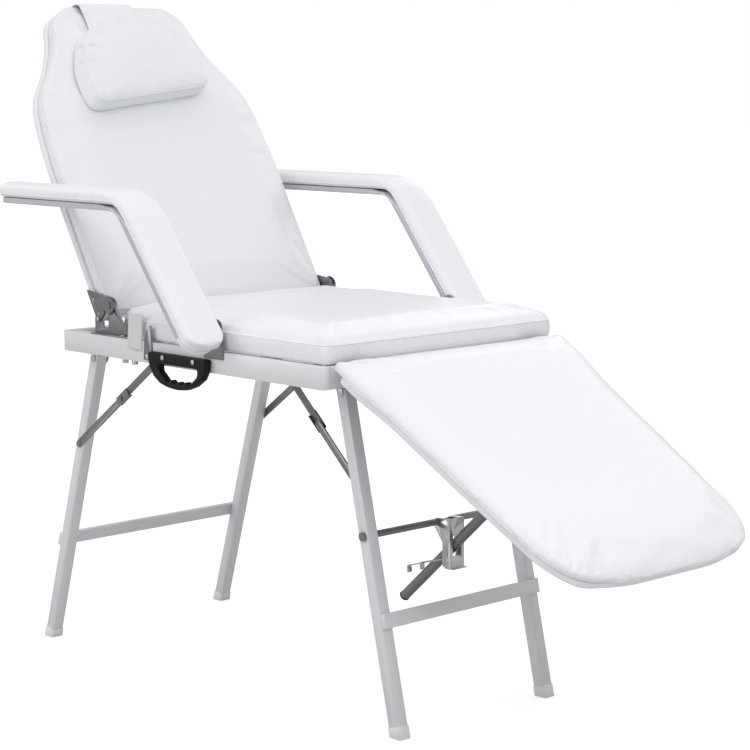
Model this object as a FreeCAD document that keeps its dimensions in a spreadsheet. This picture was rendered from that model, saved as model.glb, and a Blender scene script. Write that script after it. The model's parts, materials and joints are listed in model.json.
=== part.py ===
import FreeCAD, Part
import Sketcher
import math
import os
from types import SimpleNamespace

# A folding tattoo chair: a ring frame on two pairs of folding legs, with a
# reclining backrest, a lowering legrest and two padded armrests.
# Millimetres. X runs from the head end to the foot end, Y across the chair
# with the near side at minus Y, and Z up from the floor.

Vector = FreeCAD.Vector

SIZES = {
    # Clearances
    "running_gap": 0.3,
    "pin_gap": 0.05,
    "soft_gap": 0.5,
    "side_draw": 3.5,
    "cut_overrun": 2.0,
    # Chords of a soft outline's corner and crown, flats of small pieces
    "corner_steps": 3,
    "crown_steps": 3,
    "stub_flats": 12,
    "pin_flats": 24,
    "nut_flats": 6,
    # Seat frame
    "rail_length": 718.0,
    "frame_width": 552.0,
    "rail_width": 20.0,
    "rail_height": 38.0,
    "rail_wall": 1.5,
    "frame_clear": 582.5,
    # Leg tubes
    "tube_side": 22.0,
    "tube_wall": 1.2,
    "leg_end_over": 11.0,
    "leg_end_bevel": 4.0,
    "foot_height": 20.0,
    "foot_side": 24.6,
    "foot_floor_grip": 1.5,
    "rear_pivot_x": 16.7,
    "rear_pivot_drop": 18.5,
    "rear_leg_inset": 34.4,
    "rear_leg_angle": 16.8,
    "front_pivot_back": 55.5,
    "front_pivot_drop": 16.5,
    "front_leg_inset": 69.0,
    "front_leg_angle": 12.75,
    "crossbar_thick": 8.0,
    "crossbar_height": 25.0,
    "rear_crossbar_z": 197.0,
    "front_crossbar_z": 190.0,
    # Leg brackets and their pins
    "bracket_thick": 3.0,
    "bracket_flange_back": 17.0,
    "bracket_flange_front": 17.0,
    "front_flange_reach": 53.0,
    "bracket_round": 12.0,
    "leg_pin_dia": 8.0,
    "leg_pin_head_dia": 14.0,
    "leg_pin_head_thick": 3.0,
    # Folding braces
    "link_width": 14.0,
    "link_thick": 3.0,
    "rear_anchor_dist": 174.7,
    "rear_knee_dist": 174.65,
    "rear_brace_angle": 35.8,
    "rear_upper_link": 152.0,
    "front_anchor_dist": 188.5,
    "front_lower_link": 171.15,
    "front_brace_angle": 43.0,
    "front_upper_link": 160.0,
    "rivet_dia": 6.0,
    "rivet_head_dia": 11.0,
    "rivet_head_thick": 2.0,
    "sleeve_above": 26.0,
    "sleeve_below": 12.0,
    "sleeve_wall": 1.5,
    "standoff_dia": 14.0,
    "board_ear_width": 34.0,
    "board_ear_foot": 28.0,
    # Cross rod through the front legs and the clamp that hangs on it
    "cross_rod_dist": 242.2,
    "cross_rod_dia": 8.0,
    "rod_head_dia": 15.0,
    "rod_head_thick": 5.0,
    "rod_sleeve_dia": 12.0,
    "rod_sleeve_bore": 8.6,
    "clamp_width": 34.0,
    "clamp_wall": 2.5,
    "clamp_ahead": 32.0,
    "clamp_below": 76.0,
    "clamp_above": 9.0,
    "clamp_ear_round": 7.0,
    "clamp_flange_share": 0.58,
    "clamp_foot": 13.0,
    "clamp_slot_height": 44.0,
    "clamp_slot_width": 20.0,
    "clamp_slot_drop": 34.3,
    "lever_thick": 2.5,
    "lever_width": 28.4,
    "lever_pin_dia": 3.0,
    "lever_pin_back": 4.0,
    "lever_wing": 6.0,
    "lever_wing_start": 62.0,
    "lever_reach": 100.0,
    "lever_tab": 11.0,
    "lever_fork_width": 21.0,
    "lever_drop": 60.0,
    "lever_start": 2.0,
    "lever_angle": 16.0,
    # Support strut
    "strut_dia": 18.0,
    "strut_wall": 1.5,
    "strut_length": 416.0,
    "strut_angle": 41.9,
    "strut_pin_dia": 8.0,
    "strut_hinge_dist": 241.3,
    "strut_hinge_drop": 38.2,
    "strut_eye_thick": 8.0,
    "strut_eye_length": 26.0,
    "strut_plug_dia": 19.0,
    "strut_plug_out": 3.0,
    "swivel_length": 50.0,
    "swivel_width": 19.0,
    "swivel_thick": 3.0,
    "bridge_width": 34.0,
    "bridge_length": 60.0,
    "bridge_ear_round": 11.0,
    # Hinge of the backrest
    "hinge_x": 130.0,
    "hinge_rise": 54.5,
    "hinge_plate": 3.0,
    "arm_inset": 16.7,
    "arm_lobe": 14.0,
    "arm_back": 54.0,
    "arm_up": 57.0,
    "arm_foot": 4.0,
    "arm_screw_dia": 5.0,
    "leaf_back": 46.0,
    "leaf_front": 58.0,
    "leaf_post_width": 23.0,
    "leaf_post_height": 32.0,
    "leaf_lobe": 12.0,
    "leaf_window_width": 15.0,
    "leaf_window_height": 14.0,
    "leaf_window_rise": 11.5,
    "leaf_window_back": 20.0,
    "leaf_flange_front": 86.0,
    "leaf_flange_thick": 2.5,
    "base_bolt_head": 8.4,
    "base_bolt_head_thick": 2.2,
    "base_nut_dia": 12.0,
    "base_nut_height": 8.0,
    "base_bolt_one": 45.0,
    "base_bolt_two": 73.0,
    "hinge_pin_dia": 8.0,
    "hinge_pin_head": 14.0,
    "wheel_radius": 17.0,
    "wheel_root": 14.2,
    "wheel_thick": 3.0,
    "wheel_teeth": 18,
    "pawl_back": 31.0,
    "pawl_drop": 27.0,
    "pawl_eye": 6.5,
    "pawl_width": 8.0,
    "pawl_pin_dia": 4.0,
    "pawl_tip_gap": 0.5,
    # Backrest
    "backrest_angle": 30.0,
    "backrest_spread": 90.0,
    "backrest_front": 2.0,
    "backrest_edge": 10.0,
    "backrest_back": 53.0,
    "backrest_board": 12.0,
    "backrest_length": 634.0,
    "backrest_low": 6.0,
    "backrest_head_inset": 141.3,
    "board_inset": 7.0,
    # Pillow
    "pillow_length": 176.0,
    "pillow_top_drop": 55.0,
    "pillow_half": 145.0,
    "pillow_shift": -34.0,
    "pillow_turn_angle": 7.0,
    "pillow_back": 2.5,
    "pillow_front": 56.0,
    "pillow_spread": 46.0,
    "flap_half": 65.0,
    "flap_thick": 4.0,
    "flap_back_drop": 96.0,
    # Seat
    "seat_rear_behind": 8.0,
    "seat_front_over": 3.0,
    "seat_side_inset": 5.0,
    "seat_arm_room": 5.3,
    "seat_edge_height": 47.0,
    "seat_crown": 14.0,
    "seat_spread": 110.0,
    "seat_board_thick": 12.0,
    "seat_board_inset": 14.0,
    # Legrest
    "legrest_hinge_ahead": 24.0,
    "legrest_hinge_drop": 4.5,
    "legrest_angle": 30.7,
    "legrest_length": 572.0,
    "legrest_side_inset": 7.0,
    "legrest_under": 17.0,
    "legrest_board": 12.0,
    "legrest_edge": 14.0,
    "legrest_crown": 16.0,
    "legrest_spread": 105.0,
    "legrest_nose": 17.0,
    "leg_hinge_tube": 9.0,
    "leg_hinge_pin": 5.0,
    "leg_hinge_leaf": 2.5,
    "leg_hinge_width": 60.0,
    "leg_hinge_inset": 61.0,
    "leg_hinge_long": 52.0,
    # Armrests
    "arm_pad_gap": 3.8,
    "arm_pad_width": 81.0,
    "arm_pad_board": 10.0,
    "arm_thickness": 36.0,
    "arm_rear_x": -93.0,
    "arm_bend_x": 276.0,
    "arm_under_rise": 234.5,
    "arm_slant_angle": 51.6,
    "arm_slant_length": 302.0,
    "arm_bend_run": 52.0,
    "arm_trim_out": 5.0,
    "arm_pivot_x": 450.0,
    "arm_pivot_rise": 41.5,
    "arm_bolt_dia": 8.0,
    "arm_bolt_head": 15.0,
    "arm_rail_plate": 3.0,
    "arm_plate_half": 34.0,
    "fin_rear_x": 245.0,
    "fin_width": 24.0,
    "fin_rise": 30.0,
    "fin_below": 32.0,
    "screw_head": 9.0,
    "screw_head_thick": 2.0,
    # Carry handle
    "handle_rear_x": 273.0,
    "handle_span": 162.0,
    "handle_top_drop": 13.5,
    "handle_depth": 61.0,
    "handle_thick": 16.0,
    "handle_bar": 19.0,
    "handle_grip": 17.0,
    "handle_screw_inset": 45.0,
    "finger_count": 4,
    # Textile strap
    "strap_x": 196.0,
    "strap_width": 44.0,
    "strap_thick": 1.6,
    "strap_drop": 17.0,
    "strap_rise": 46.0,
}

doc = FreeCAD.newDocument("TattooChair")
sheet = doc.addObject("Spreadsheet::Sheet", "sizes")
cells = {}


def enter(alias, value):
    """Write one size into the sheet under its alias."""
    row = len(cells) + 1
    sheet.set("A%d" % row, alias)
    sheet.set("B%d" % row, repr(value))
    sheet.setAlias("B%d" % row, alias)
    cells[alias] = value
    return value


for alias, value in SIZES.items():
    enter(alias, value)

s = SimpleNamespace(**SIZES)
nodes = []
SIDES = (("near", -1), ("far", 1))


def derive(alias, value):
    """Keep a size that follows from others in the sheet and by name."""
    setattr(s, alias, enter(alias, value))


def turn(x, z, degrees):
    """Turn a point of the side view, positive from Z towards X."""
    a = math.radians(degrees)
    return (x * math.cos(a) + z * math.sin(a), z * math.cos(a) - x * math.sin(a))


# Places that several pieces share
derive("frame_top", s.frame_clear + s.rail_height)
derive("frame_half", s.frame_width / 2)
derive("rail_inner", s.frame_half - s.rail_width)
derive("half_tube", s.tube_side / 2)
derive("arm_inner", s.frame_half - s.arm_inset)
derive("seat_rear_x", s.hinge_x + s.seat_rear_behind)
derive("seat_front_x", s.rail_length + s.seat_front_over)
derive("seat_half", s.frame_half - s.seat_side_inset)
derive("legrest_half", s.frame_half - s.legrest_side_inset)
derive("leg_hinge_spread", s.frame_half - s.leg_hinge_inset)
derive("arm_pad_inner", s.frame_half + s.arm_pad_gap)
derive("seat_rear_half", s.arm_inner - s.seat_arm_room)
derive("legrest_hinge_x", s.rail_length + s.legrest_hinge_ahead)
derive("rear_pivot_z", s.frame_clear - s.rear_pivot_drop)
derive("front_pivot_x", s.rail_length - s.front_pivot_back)
derive("front_pivot_z", s.frame_clear - s.front_pivot_drop)
derive("hinge_z", s.frame_top + s.hinge_rise)
derive("legrest_hinge_z", s.frame_top - s.legrest_hinge_drop)
derive("rear_leg_outer", s.rail_inner - s.rear_leg_inset)
derive("front_leg_outer", s.rail_inner - s.front_leg_inset)
derive("rear_leg_y", s.rear_leg_outer - s.half_tube)
derive("front_leg_y", s.front_leg_outer - s.half_tube)
derive("rear_leg_length",
       s.rear_pivot_z / math.cos(math.radians(s.rear_leg_angle)))
derive("front_leg_length",
       s.front_pivot_z / math.cos(math.radians(s.front_leg_angle)))


def node(label, *objects):
    """Name a sub-part: one object, or a compound of alike pieces."""
    if len(objects) == 1:
        piece = objects[0]
    else:
        piece = doc.addObject("Part::Compound", "set_" + label)
        piece.Links = list(objects)
    piece.Label = label
    nodes.append(piece)
    return piece


def plane_of(body, role):
    return [f for f in body.Origin.OriginFeatures if f.Role == role][0]


def bind_point(sketch, name, geometry, position, x, z):
    """Fix one point of a sketch to two cells of the sheet."""
    for axis, kind, value in (("x", "DistanceX", x), ("z", "DistanceY", z)):
        alias = name + axis
        enter(alias, value)
        index = sketch.addConstraint(
            Sketcher.Constraint(kind, -1, 1, geometry, position, value))
        sketch.renameConstraint(index, alias)
        sketch.setExpression("Constraints." + alias, "sizes." + alias)


def bind_round(sketch, name, geometry, kind, alias, value):
    index = sketch.addConstraint(Sketcher.Constraint(kind, geometry, value))
    sketch.renameConstraint(index, name)
    sketch.setExpression("Constraints." + name, "sizes." + alias)


def plate(name, outline, thick, middle, holes=(), windows=(), plane="XZ_Plane"):
    """A flat plate: its outline in the side view, padded about middle.

    Each outline point is (x, z); each hole is (x, z, alias of a diameter);
    thick is an alias.
    """
    body = doc.addObject("PartDesign::Body", name)
    sketch = body.newObject("Sketcher::SketchObject", name + "_outline")
    sketch.AttachmentSupport = (plane_of(body, plane), "")
    sketch.MapMode = "FlatFace"
    for loop, points in enumerate((outline,) + tuple(windows)):
        first = sketch.GeometryCount
        count = len(points)
        for i in range(count):
            a = Vector(points[i][0], points[i][1], 0)
            b = Vector(points[(i + 1) % count][0], points[(i + 1) % count][1], 0)
            sketch.addGeometry(Part.LineSegment(a, b))
        for i in range(count):
            sketch.addConstraint(Sketcher.Constraint(
                "Coincident", first + i, 2, first + (i + 1) % count, 1))
        for i in range(count):
            label = "%s_%s%d_" % (name, "abcdefgh"[loop], i)
            bind_point(sketch, label, first + i, 1, points[i][0], points[i][1])
    for i, (x, z, alias) in enumerate(holes):
        circle = sketch.addGeometry(
            Part.Circle(Vector(x, z, 0), Vector(0, 0, 1), cells[alias] / 2))
        bind_point(sketch, "%s_hole%d_" % (name, i), circle, 3, x, z)
        bind_round(sketch, "%s_bore%d" % (name, i), circle, "Diameter", alias,
                   cells[alias])
    pad = body.newObject("PartDesign::Pad", name + "_pad")
    pad.Profile = sketch
    pad.SideType = "Symmetric"
    pad.setExpression("Length", "sizes." + thick)
    body.Tip = pad
    if plane == "XZ_Plane":
        body.Placement = FreeCAD.Placement(Vector(0, middle, 0),
                                           FreeCAD.Rotation())
    else:
        body.Placement = FreeCAD.Placement(Vector(0, 0, middle),
                                           FreeCAD.Rotation())
    return body


def arc_points(cx, cz, radius, start, stop, steps):
    """Points on an arc, angles in degrees from X towards Z."""
    points = []
    for i in range(steps + 1):
        a = math.radians(start + (stop - start) * i / steps)
        points.append((cx + radius * math.cos(a), cz + radius * math.sin(a)))
    return points


def rod(name, diameter, length, place, direction=Vector(0, 1, 0)):
    """A round bar: diameter and length are aliases."""
    piece = doc.addObject("Part::Cylinder", name)
    piece.setExpression("Radius", "sizes.%s / 2" % diameter)
    piece.setExpression("Height", "sizes." + length)
    piece.Placement = FreeCAD.Placement(
        place, FreeCAD.Rotation(Vector(0, 0, 1), direction))
    return piece


def stub(name, diameter, length, place, direction=Vector(0, 1, 0),
         flats="stub_flats"):
    """A small bar with flats, for the many heads, rivets and nuts."""
    piece = doc.addObject("Part::Prism", name)
    piece.Polygon = int(cells[flats])
    piece.setExpression("Circumradius", "sizes.%s / 2" % diameter)
    piece.setExpression("Height", "sizes." + length)
    piece.Placement = FreeCAD.Placement(
        place, FreeCAD.Rotation(Vector(0, 0, 1), direction))
    return piece


def block(name, length, width, height, corner):
    """A square-edged block; the sizes are aliases."""
    piece = doc.addObject("Part::Box", name)
    piece.setExpression("Length", "sizes." + length)
    piece.setExpression("Width", "sizes." + width)
    piece.setExpression("Height", "sizes." + height)
    piece.Placement = FreeCAD.Placement(corner, FreeCAD.Rotation())
    return piece


def fuse(name, *pieces):
    joined = doc.addObject("Part::MultiFuse", name)
    joined.Shapes = list(pieces)
    return joined


def cut(name, base, tool):
    result = doc.addObject("Part::Cut", name)
    result.Base = base
    result.Tool = tool
    return result


def place_node(piece, x, z, degrees, y=0.0):
    """Stand a piece drawn about its own origin at (x, z), turned in the
    side view, positive from Z towards X."""
    piece.Placement = FreeCAD.Placement(
        Vector(x, y, z), FreeCAD.Rotation(Vector(0, 1, 0), degrees))


def rounded_wire(corners, lift, steps=1):
    """A closed wire of lines, with each corner's arc laid out in chords.

    corners holds (x, y, run): run is how far the arc reaches along each side.
    lift maps (x, y) to a point in space; steps is the chords of an arc.
    """
    count = len(corners)
    points = []
    for i in range(count):
        x, y, run = corners[i]
        here = Vector(x, y, 0)
        before = Vector(corners[i - 1][0], corners[i - 1][1], 0) - here
        after = Vector(corners[(i + 1) % count][0],
                       corners[(i + 1) % count][1], 0) - here
        before.normalize()
        after.normalize()
        half = before.getAngle(after) / 2
        bisector = before + after
        bisector.normalize()
        radius = run * math.tan(half)
        centre = here + bisector * (run / math.cos(half))
        across = after - before
        across.normalize()
        for step in range(steps + 1):
            a = (math.pi / 2 - half) * (2 * step / steps - 1)
            points.append(centre - bisector * (radius * math.cos(a))
                          + across * (radius * math.sin(a)))
    return Part.makePolygon([lift(p.x, p.y) for p in points + points[:1]])


def stuffing(base, edge, top, pull, spread):
    """Heights and draws of a stuffed pad: a drawn-in foot, a full side
    and a crown that rounds over from the edge to the top."""
    rise = edge - base
    layers = [(base, pull), (base + rise / 3, 0), (base + rise * 0.72, pull / 3)]
    steps = s.crown_steps
    for i in range(steps + 1):
        a = math.radians(90 * i / steps)
        layers.append((edge + (top - edge) * math.sin(a),
                       pull + (spread - pull) * (1 - math.cos(a))))
    return layers


def cushion_shape(corners, layers, lift):
    """A stuffed shape: the outline drawn in by each layer's draw.

    layers holds (height, draw): the outline is scaled about its middle
    so that its sides come in by about the draw at that height, and stay
    parallel to what they were.
    lift maps (x, y, height) to a point in space.
    """
    xs = [c[0] for c in corners]
    ys = [c[1] for c in corners]
    mx = (min(xs) + max(xs)) / 2
    my = (min(ys) + max(ys)) / 2
    span = (max(xs) - min(xs) + max(ys) - min(ys)) / 2
    wires = []
    for height, draw in layers:
        share = (span - 2 * draw) / span
        drawn = [(mx + (x - mx) * share, my + (y - my) * share, run * share)
                 for x, y, run in corners]
        wires.append(rounded_wire(
            drawn, lambda x, y, at=height: lift(x, y, at), s.corner_steps))
    return flat_faced(Part.makeLoft(wires, True, True))


def flat_faced(shape):
    """The same solid with its ruled faces, which are all flat, as planes."""
    faces = [Part.Face(Part.makePolygon(
        [v.Point for v in face.OuterWire.OrderedVertexes]
        + [face.OuterWire.OrderedVertexes[0].Point])) for face in shape.Faces]
    return Part.makeSolid(Part.makeShell(faces))


def feature(name, shape):
    piece = doc.addObject("Part::Feature", name)
    piece.Shape = shape
    return piece


def mirrored(points):
    """The far half of an outline from its near half, in turning order."""
    return points + [(x, -y, run) for x, y, run in reversed(points)]


# Seat frame, board and cushion

def seat_frame():
    """Four welded rails of rectangular tube: two long ones with closed
    ends, and two across between them, flush with the ends."""
    wall = s.rail_wall
    derive("cross_rail_length", 2 * s.rail_inner)
    derive("long_room_length", s.rail_length - 2 * wall)
    derive("cross_room_length", s.cross_rail_length + 2 * s.cut_overrun)
    derive("rail_room_width", s.rail_width - 2 * wall)
    derive("rail_room_height", s.rail_height - 2 * wall)
    inset = Vector(0, wall, wall)
    for side, y in (("near", -s.frame_half), ("far", s.rail_inner)):
        corner = Vector(0, y, s.frame_clear)
        outside = block("rail_outside_" + side, "rail_length", "rail_width",
                        "rail_height", corner)
        room = block("rail_room_" + side, "long_room_length",
                     "rail_room_width", "rail_room_height",
                     corner + inset + Vector(wall, 0, 0))
        node("frame_rail_" + side, cut("rail_" + side, outside, room))
    for end, x in (("rear", 0.0), ("front", s.rail_length - s.rail_width)):
        corner = Vector(x, -s.rail_inner, s.frame_clear)
        outside = block("cross_outside_" + end, "rail_width",
                        "cross_rail_length", "rail_height", corner)
        room = block("cross_room_" + end, "rail_room_width",
                     "cross_room_length", "rail_room_height",
                     corner + Vector(wall, -s.cut_overrun, wall))
        node("frame_cross_" + end, cut("cross_" + end, outside, room))


def seat_corners(inset):
    rear = s.seat_rear_x + inset
    front = s.seat_front_x - inset
    half = s.seat_half - inset
    rear_half = s.seat_rear_half - inset
    step = s.hinge_x + s.leaf_flange_front + inset
    soft = s.rail_width
    near = [(rear, -rear_half, soft), (step, -rear_half, soft / 2),
            (step + s.seat_half - s.seat_rear_half, -half, soft / 2),
            (front, -half, soft / 2)]
    return mirrored(near)


def seat_pad():
    length = s.seat_front_x - s.seat_rear_x
    edge = s.seat_edge_height
    base = s.frame_top + s.running_gap
    layers = stuffing(0, edge, edge + s.seat_crown, s.side_draw, s.seat_spread)
    shape = cushion_shape(seat_corners(0), layers,
                          lambda x, y, h: Vector(x, y, base + h))
    inset = s.seat_board_inset
    hollow = Part.makeBox(
        length - 2 * inset + 2 * s.running_gap,
        2 * (s.seat_rear_half - inset) + 2 * s.running_gap,
        s.seat_board_thick + s.cut_overrun,
        Vector(s.seat_rear_x + inset - s.running_gap,
               -(s.seat_rear_half - inset) - s.running_gap,
               s.frame_top - s.cut_overrun + s.running_gap))
    node("seat_cushion", feature("seat_skin", shape.cut(hollow)))


def seat_board():
    inset = s.seat_board_inset
    rear = s.seat_rear_x + inset
    front = s.seat_front_x - inset
    half = s.seat_rear_half - inset
    body = plate("seat_panel", [(rear, -half), (front, -half), (front, half),
                                (rear, half)],
                 "seat_board_thick", s.frame_top + s.seat_board_thick / 2,
                 plane="XY_Plane")
    node("seat_board", body)


# Legs. Each leg is drawn hanging straight down from its pivot at the
# origin and then leaned into place.

def leg_outline(length, lean):
    """The leg in the side view, cut level with the floor cap."""
    half = s.half_tube
    top = s.leg_end_over
    bevel = s.leg_end_bevel
    rise = s.foot_floor_grip / math.cos(math.radians(lean))
    slant = half * math.tan(math.radians(lean))
    low = -length + rise
    return [(-half, low - slant), (half, low + slant), (half, top - bevel),
            (half - bevel, top), (bevel - half, top), (-half, top - bevel)]


def foot_outline(length, lean):
    half = s.foot_side / 2
    slant = half * math.tan(math.radians(lean))
    return [(-half, -length - slant), (half, -length + slant),
            (half, s.foot_height - length), (-half, s.foot_height - length)]


def leg(name, length, lean, x, z, y, holes):
    """A square tube, open inside: lean is positive where the foot
    stands towards the head end."""
    body = plate(name, leg_outline(length, lean), "tube_side", 0, holes=holes)
    inside = s.half_tube - s.tube_wall
    low = -length - s.half_tube
    high = s.leg_end_over + s.cut_overrun
    room = plate(name + "_room", [(-inside, low), (inside, low),
                                  (inside, high), (-inside, high)],
                 "tube_room", 0)
    piece = cut(name + "_wall", body, room)
    place_node(piece, x, z, lean, y)
    return piece


def foot(name, length, lean, x, z, y):
    """A cap over the tube's end: a block with the tube's room cut out."""
    outside = plate(name + "_outside", foot_outline(length, lean), "foot_side", 0)
    room = plate(name + "_room", [
        (-s.half_tube - s.pin_gap, -length + s.foot_floor_grip / math.cos(
            math.radians(lean)) - (s.half_tube + s.pin_gap) * math.tan(
                math.radians(lean))),
        (s.half_tube + s.pin_gap, -length + s.foot_floor_grip / math.cos(
            math.radians(lean)) + (s.half_tube + s.pin_gap) * math.tan(
                math.radians(lean))),
        (s.half_tube + s.pin_gap, s.foot_height - length + s.cut_overrun),
        (-s.half_tube - s.pin_gap, s.foot_height - length + s.cut_overrun)],
        "foot_room", 0)
    piece = cut(name, outside, room)
    place_node(piece, x, z, lean, y)
    return piece


def legs():
    derive("foot_room", s.tube_side + 2 * s.pin_gap)
    derive("tube_room", s.tube_side - 2 * s.tube_wall)
    derive("leg_pin_bore", s.leg_pin_dia + 2 * s.pin_gap)
    derive("rod_bore", s.cross_rod_dia + 2 * s.pin_gap)
    rear_feet = []
    front_feet = []
    for side, sign in SIDES:
        node("rear_leg_" + side, leg(
            "rear_tube_" + side, s.rear_leg_length, s.rear_leg_angle,
            s.rear_pivot_x, s.rear_pivot_z, sign * s.rear_leg_y,
            [(0, 0, "leg_pin_bore")]))
        node("front_leg_" + side, leg(
            "front_tube_" + side, s.front_leg_length, -s.front_leg_angle,
            s.front_pivot_x, s.front_pivot_z, sign * s.front_leg_y,
            [(0, 0, "leg_pin_bore"), (0, -s.cross_rod_dist, "rod_bore")]))
        rear_feet.append(foot(
            "rear_cap_" + side, s.rear_leg_length, s.rear_leg_angle,
            s.rear_pivot_x, s.rear_pivot_z, sign * s.rear_leg_y))
        front_feet.append(foot(
            "front_cap_" + side, s.front_leg_length, -s.front_leg_angle,
            s.front_pivot_x, s.front_pivot_z, sign * s.front_leg_y))
    node("rear_feet", *rear_feet)
    node("front_feet", *front_feet)


def crossbars():
    derive("rear_bar_width", 2 * s.rear_leg_outer)
    derive("front_bar_width", 2 * s.front_leg_outer)
    for name, x, z, lean, level, width, face in (
            ("rear", s.rear_pivot_x, s.rear_pivot_z, s.rear_leg_angle,
             s.rear_crossbar_z, "rear_bar_width", -1),
            ("front", s.front_pivot_x, s.front_pivot_z, -s.front_leg_angle,
             s.front_crossbar_z, "front_bar_width", 1)):
        down = (z - level) / math.cos(math.radians(lean))
        near = face * s.half_tube
        away = face * (s.half_tube + s.crossbar_thick)
        low = -down - s.crossbar_height / 2
        high = low + s.crossbar_height
        body = plate(name + "_bar", [(min(near, away), low),
                                     (max(near, away), low),
                                     (max(near, away), high),
                                     (min(near, away), high)], width, 0)
        place_node(body, x, z, lean)
        node(name + "_crossbar", body)


def leg_brackets():
    """An angle plate under the frame beside each leg, with the leg's pin."""
    derive("bracket_flange", s.tube_side + s.bracket_thick + s.running_gap)
    derive("bracket_bore", s.leg_pin_dia + 2 * s.pin_gap)
    derive("leg_pin_length", s.tube_side + 3 * s.running_gap
           + s.bracket_thick)
    pins = []
    for name, x, z, outer, back, front in (
            ("rear", s.rear_pivot_x, s.rear_pivot_z, s.rear_leg_outer,
             s.rear_pivot_x, s.bracket_flange_front),
            ("front", s.front_pivot_x, s.front_pivot_z, s.front_leg_outer,
             s.bracket_flange_back, s.front_flange_reach)):
        pair = []
        for side, sign in SIDES:
            inner = outer - s.tube_side - s.running_gap
            top = s.frame_clear - z
            under = top - s.bracket_thick
            lobe = arc_points(0, 0, s.bracket_round, 180, 360, 8)
            cheek = plate("%s_cheek_%s" % (name, side),
                          [(front, top), (-back, top), (-back, under)] + lobe
                          + [(front, under)],
                          "bracket_thick",
                          sign * (inner - s.bracket_thick / 2),
                          holes=[(0, 0, "bracket_bore")])
            flange = plate("%s_flange_%s" % (name, side),
                           [(front, top), (-back, top), (-back, under),
                            (front, under)], "bracket_flange",
                           sign * (inner - s.bracket_thick
                                   + s.bracket_flange / 2))
            piece = fuse("%s_bracket_%s" % (name, side), cheek, flange)
            piece.Placement.Base = Vector(x, 0, z)
            pair.append(piece)
            start = sign * (inner - s.bracket_thick - s.running_gap)
            shank = stub("%s_pin_shank_%s" % (name, side), "leg_pin_dia",
                         "leg_pin_length", Vector(x, start, z),
                         Vector(0, sign, 0), "pin_flats")
            head = stub("%s_pin_head_%s" % (name, side), "leg_pin_head_dia",
                       "leg_pin_head_thick",
                       Vector(x, sign * (outer + s.running_gap), z),
                       Vector(0, sign, 0))
            pins.append(fuse("%s_pin_%s" % (name, side), shank, head))
        node("leg_brackets_" + name, *pair)
    node("leg_pivot_pins", *pins)


# Folding braces. Each link is drawn along X from its upper hinge.

def link(name, length, y, near_hole, far_hole):
    half = s.link_width / 2
    outline = (arc_points(0, 0, half, 90, 270, 8)
               + arc_points(length, 0, half, -90, 90, 8))
    holes = []
    if near_hole:
        holes.append((0, 0, near_hole))
    if far_hole:
        holes.append((length, 0, far_hole))
    return plate(name, outline, "link_thick", y, holes=holes)


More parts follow.
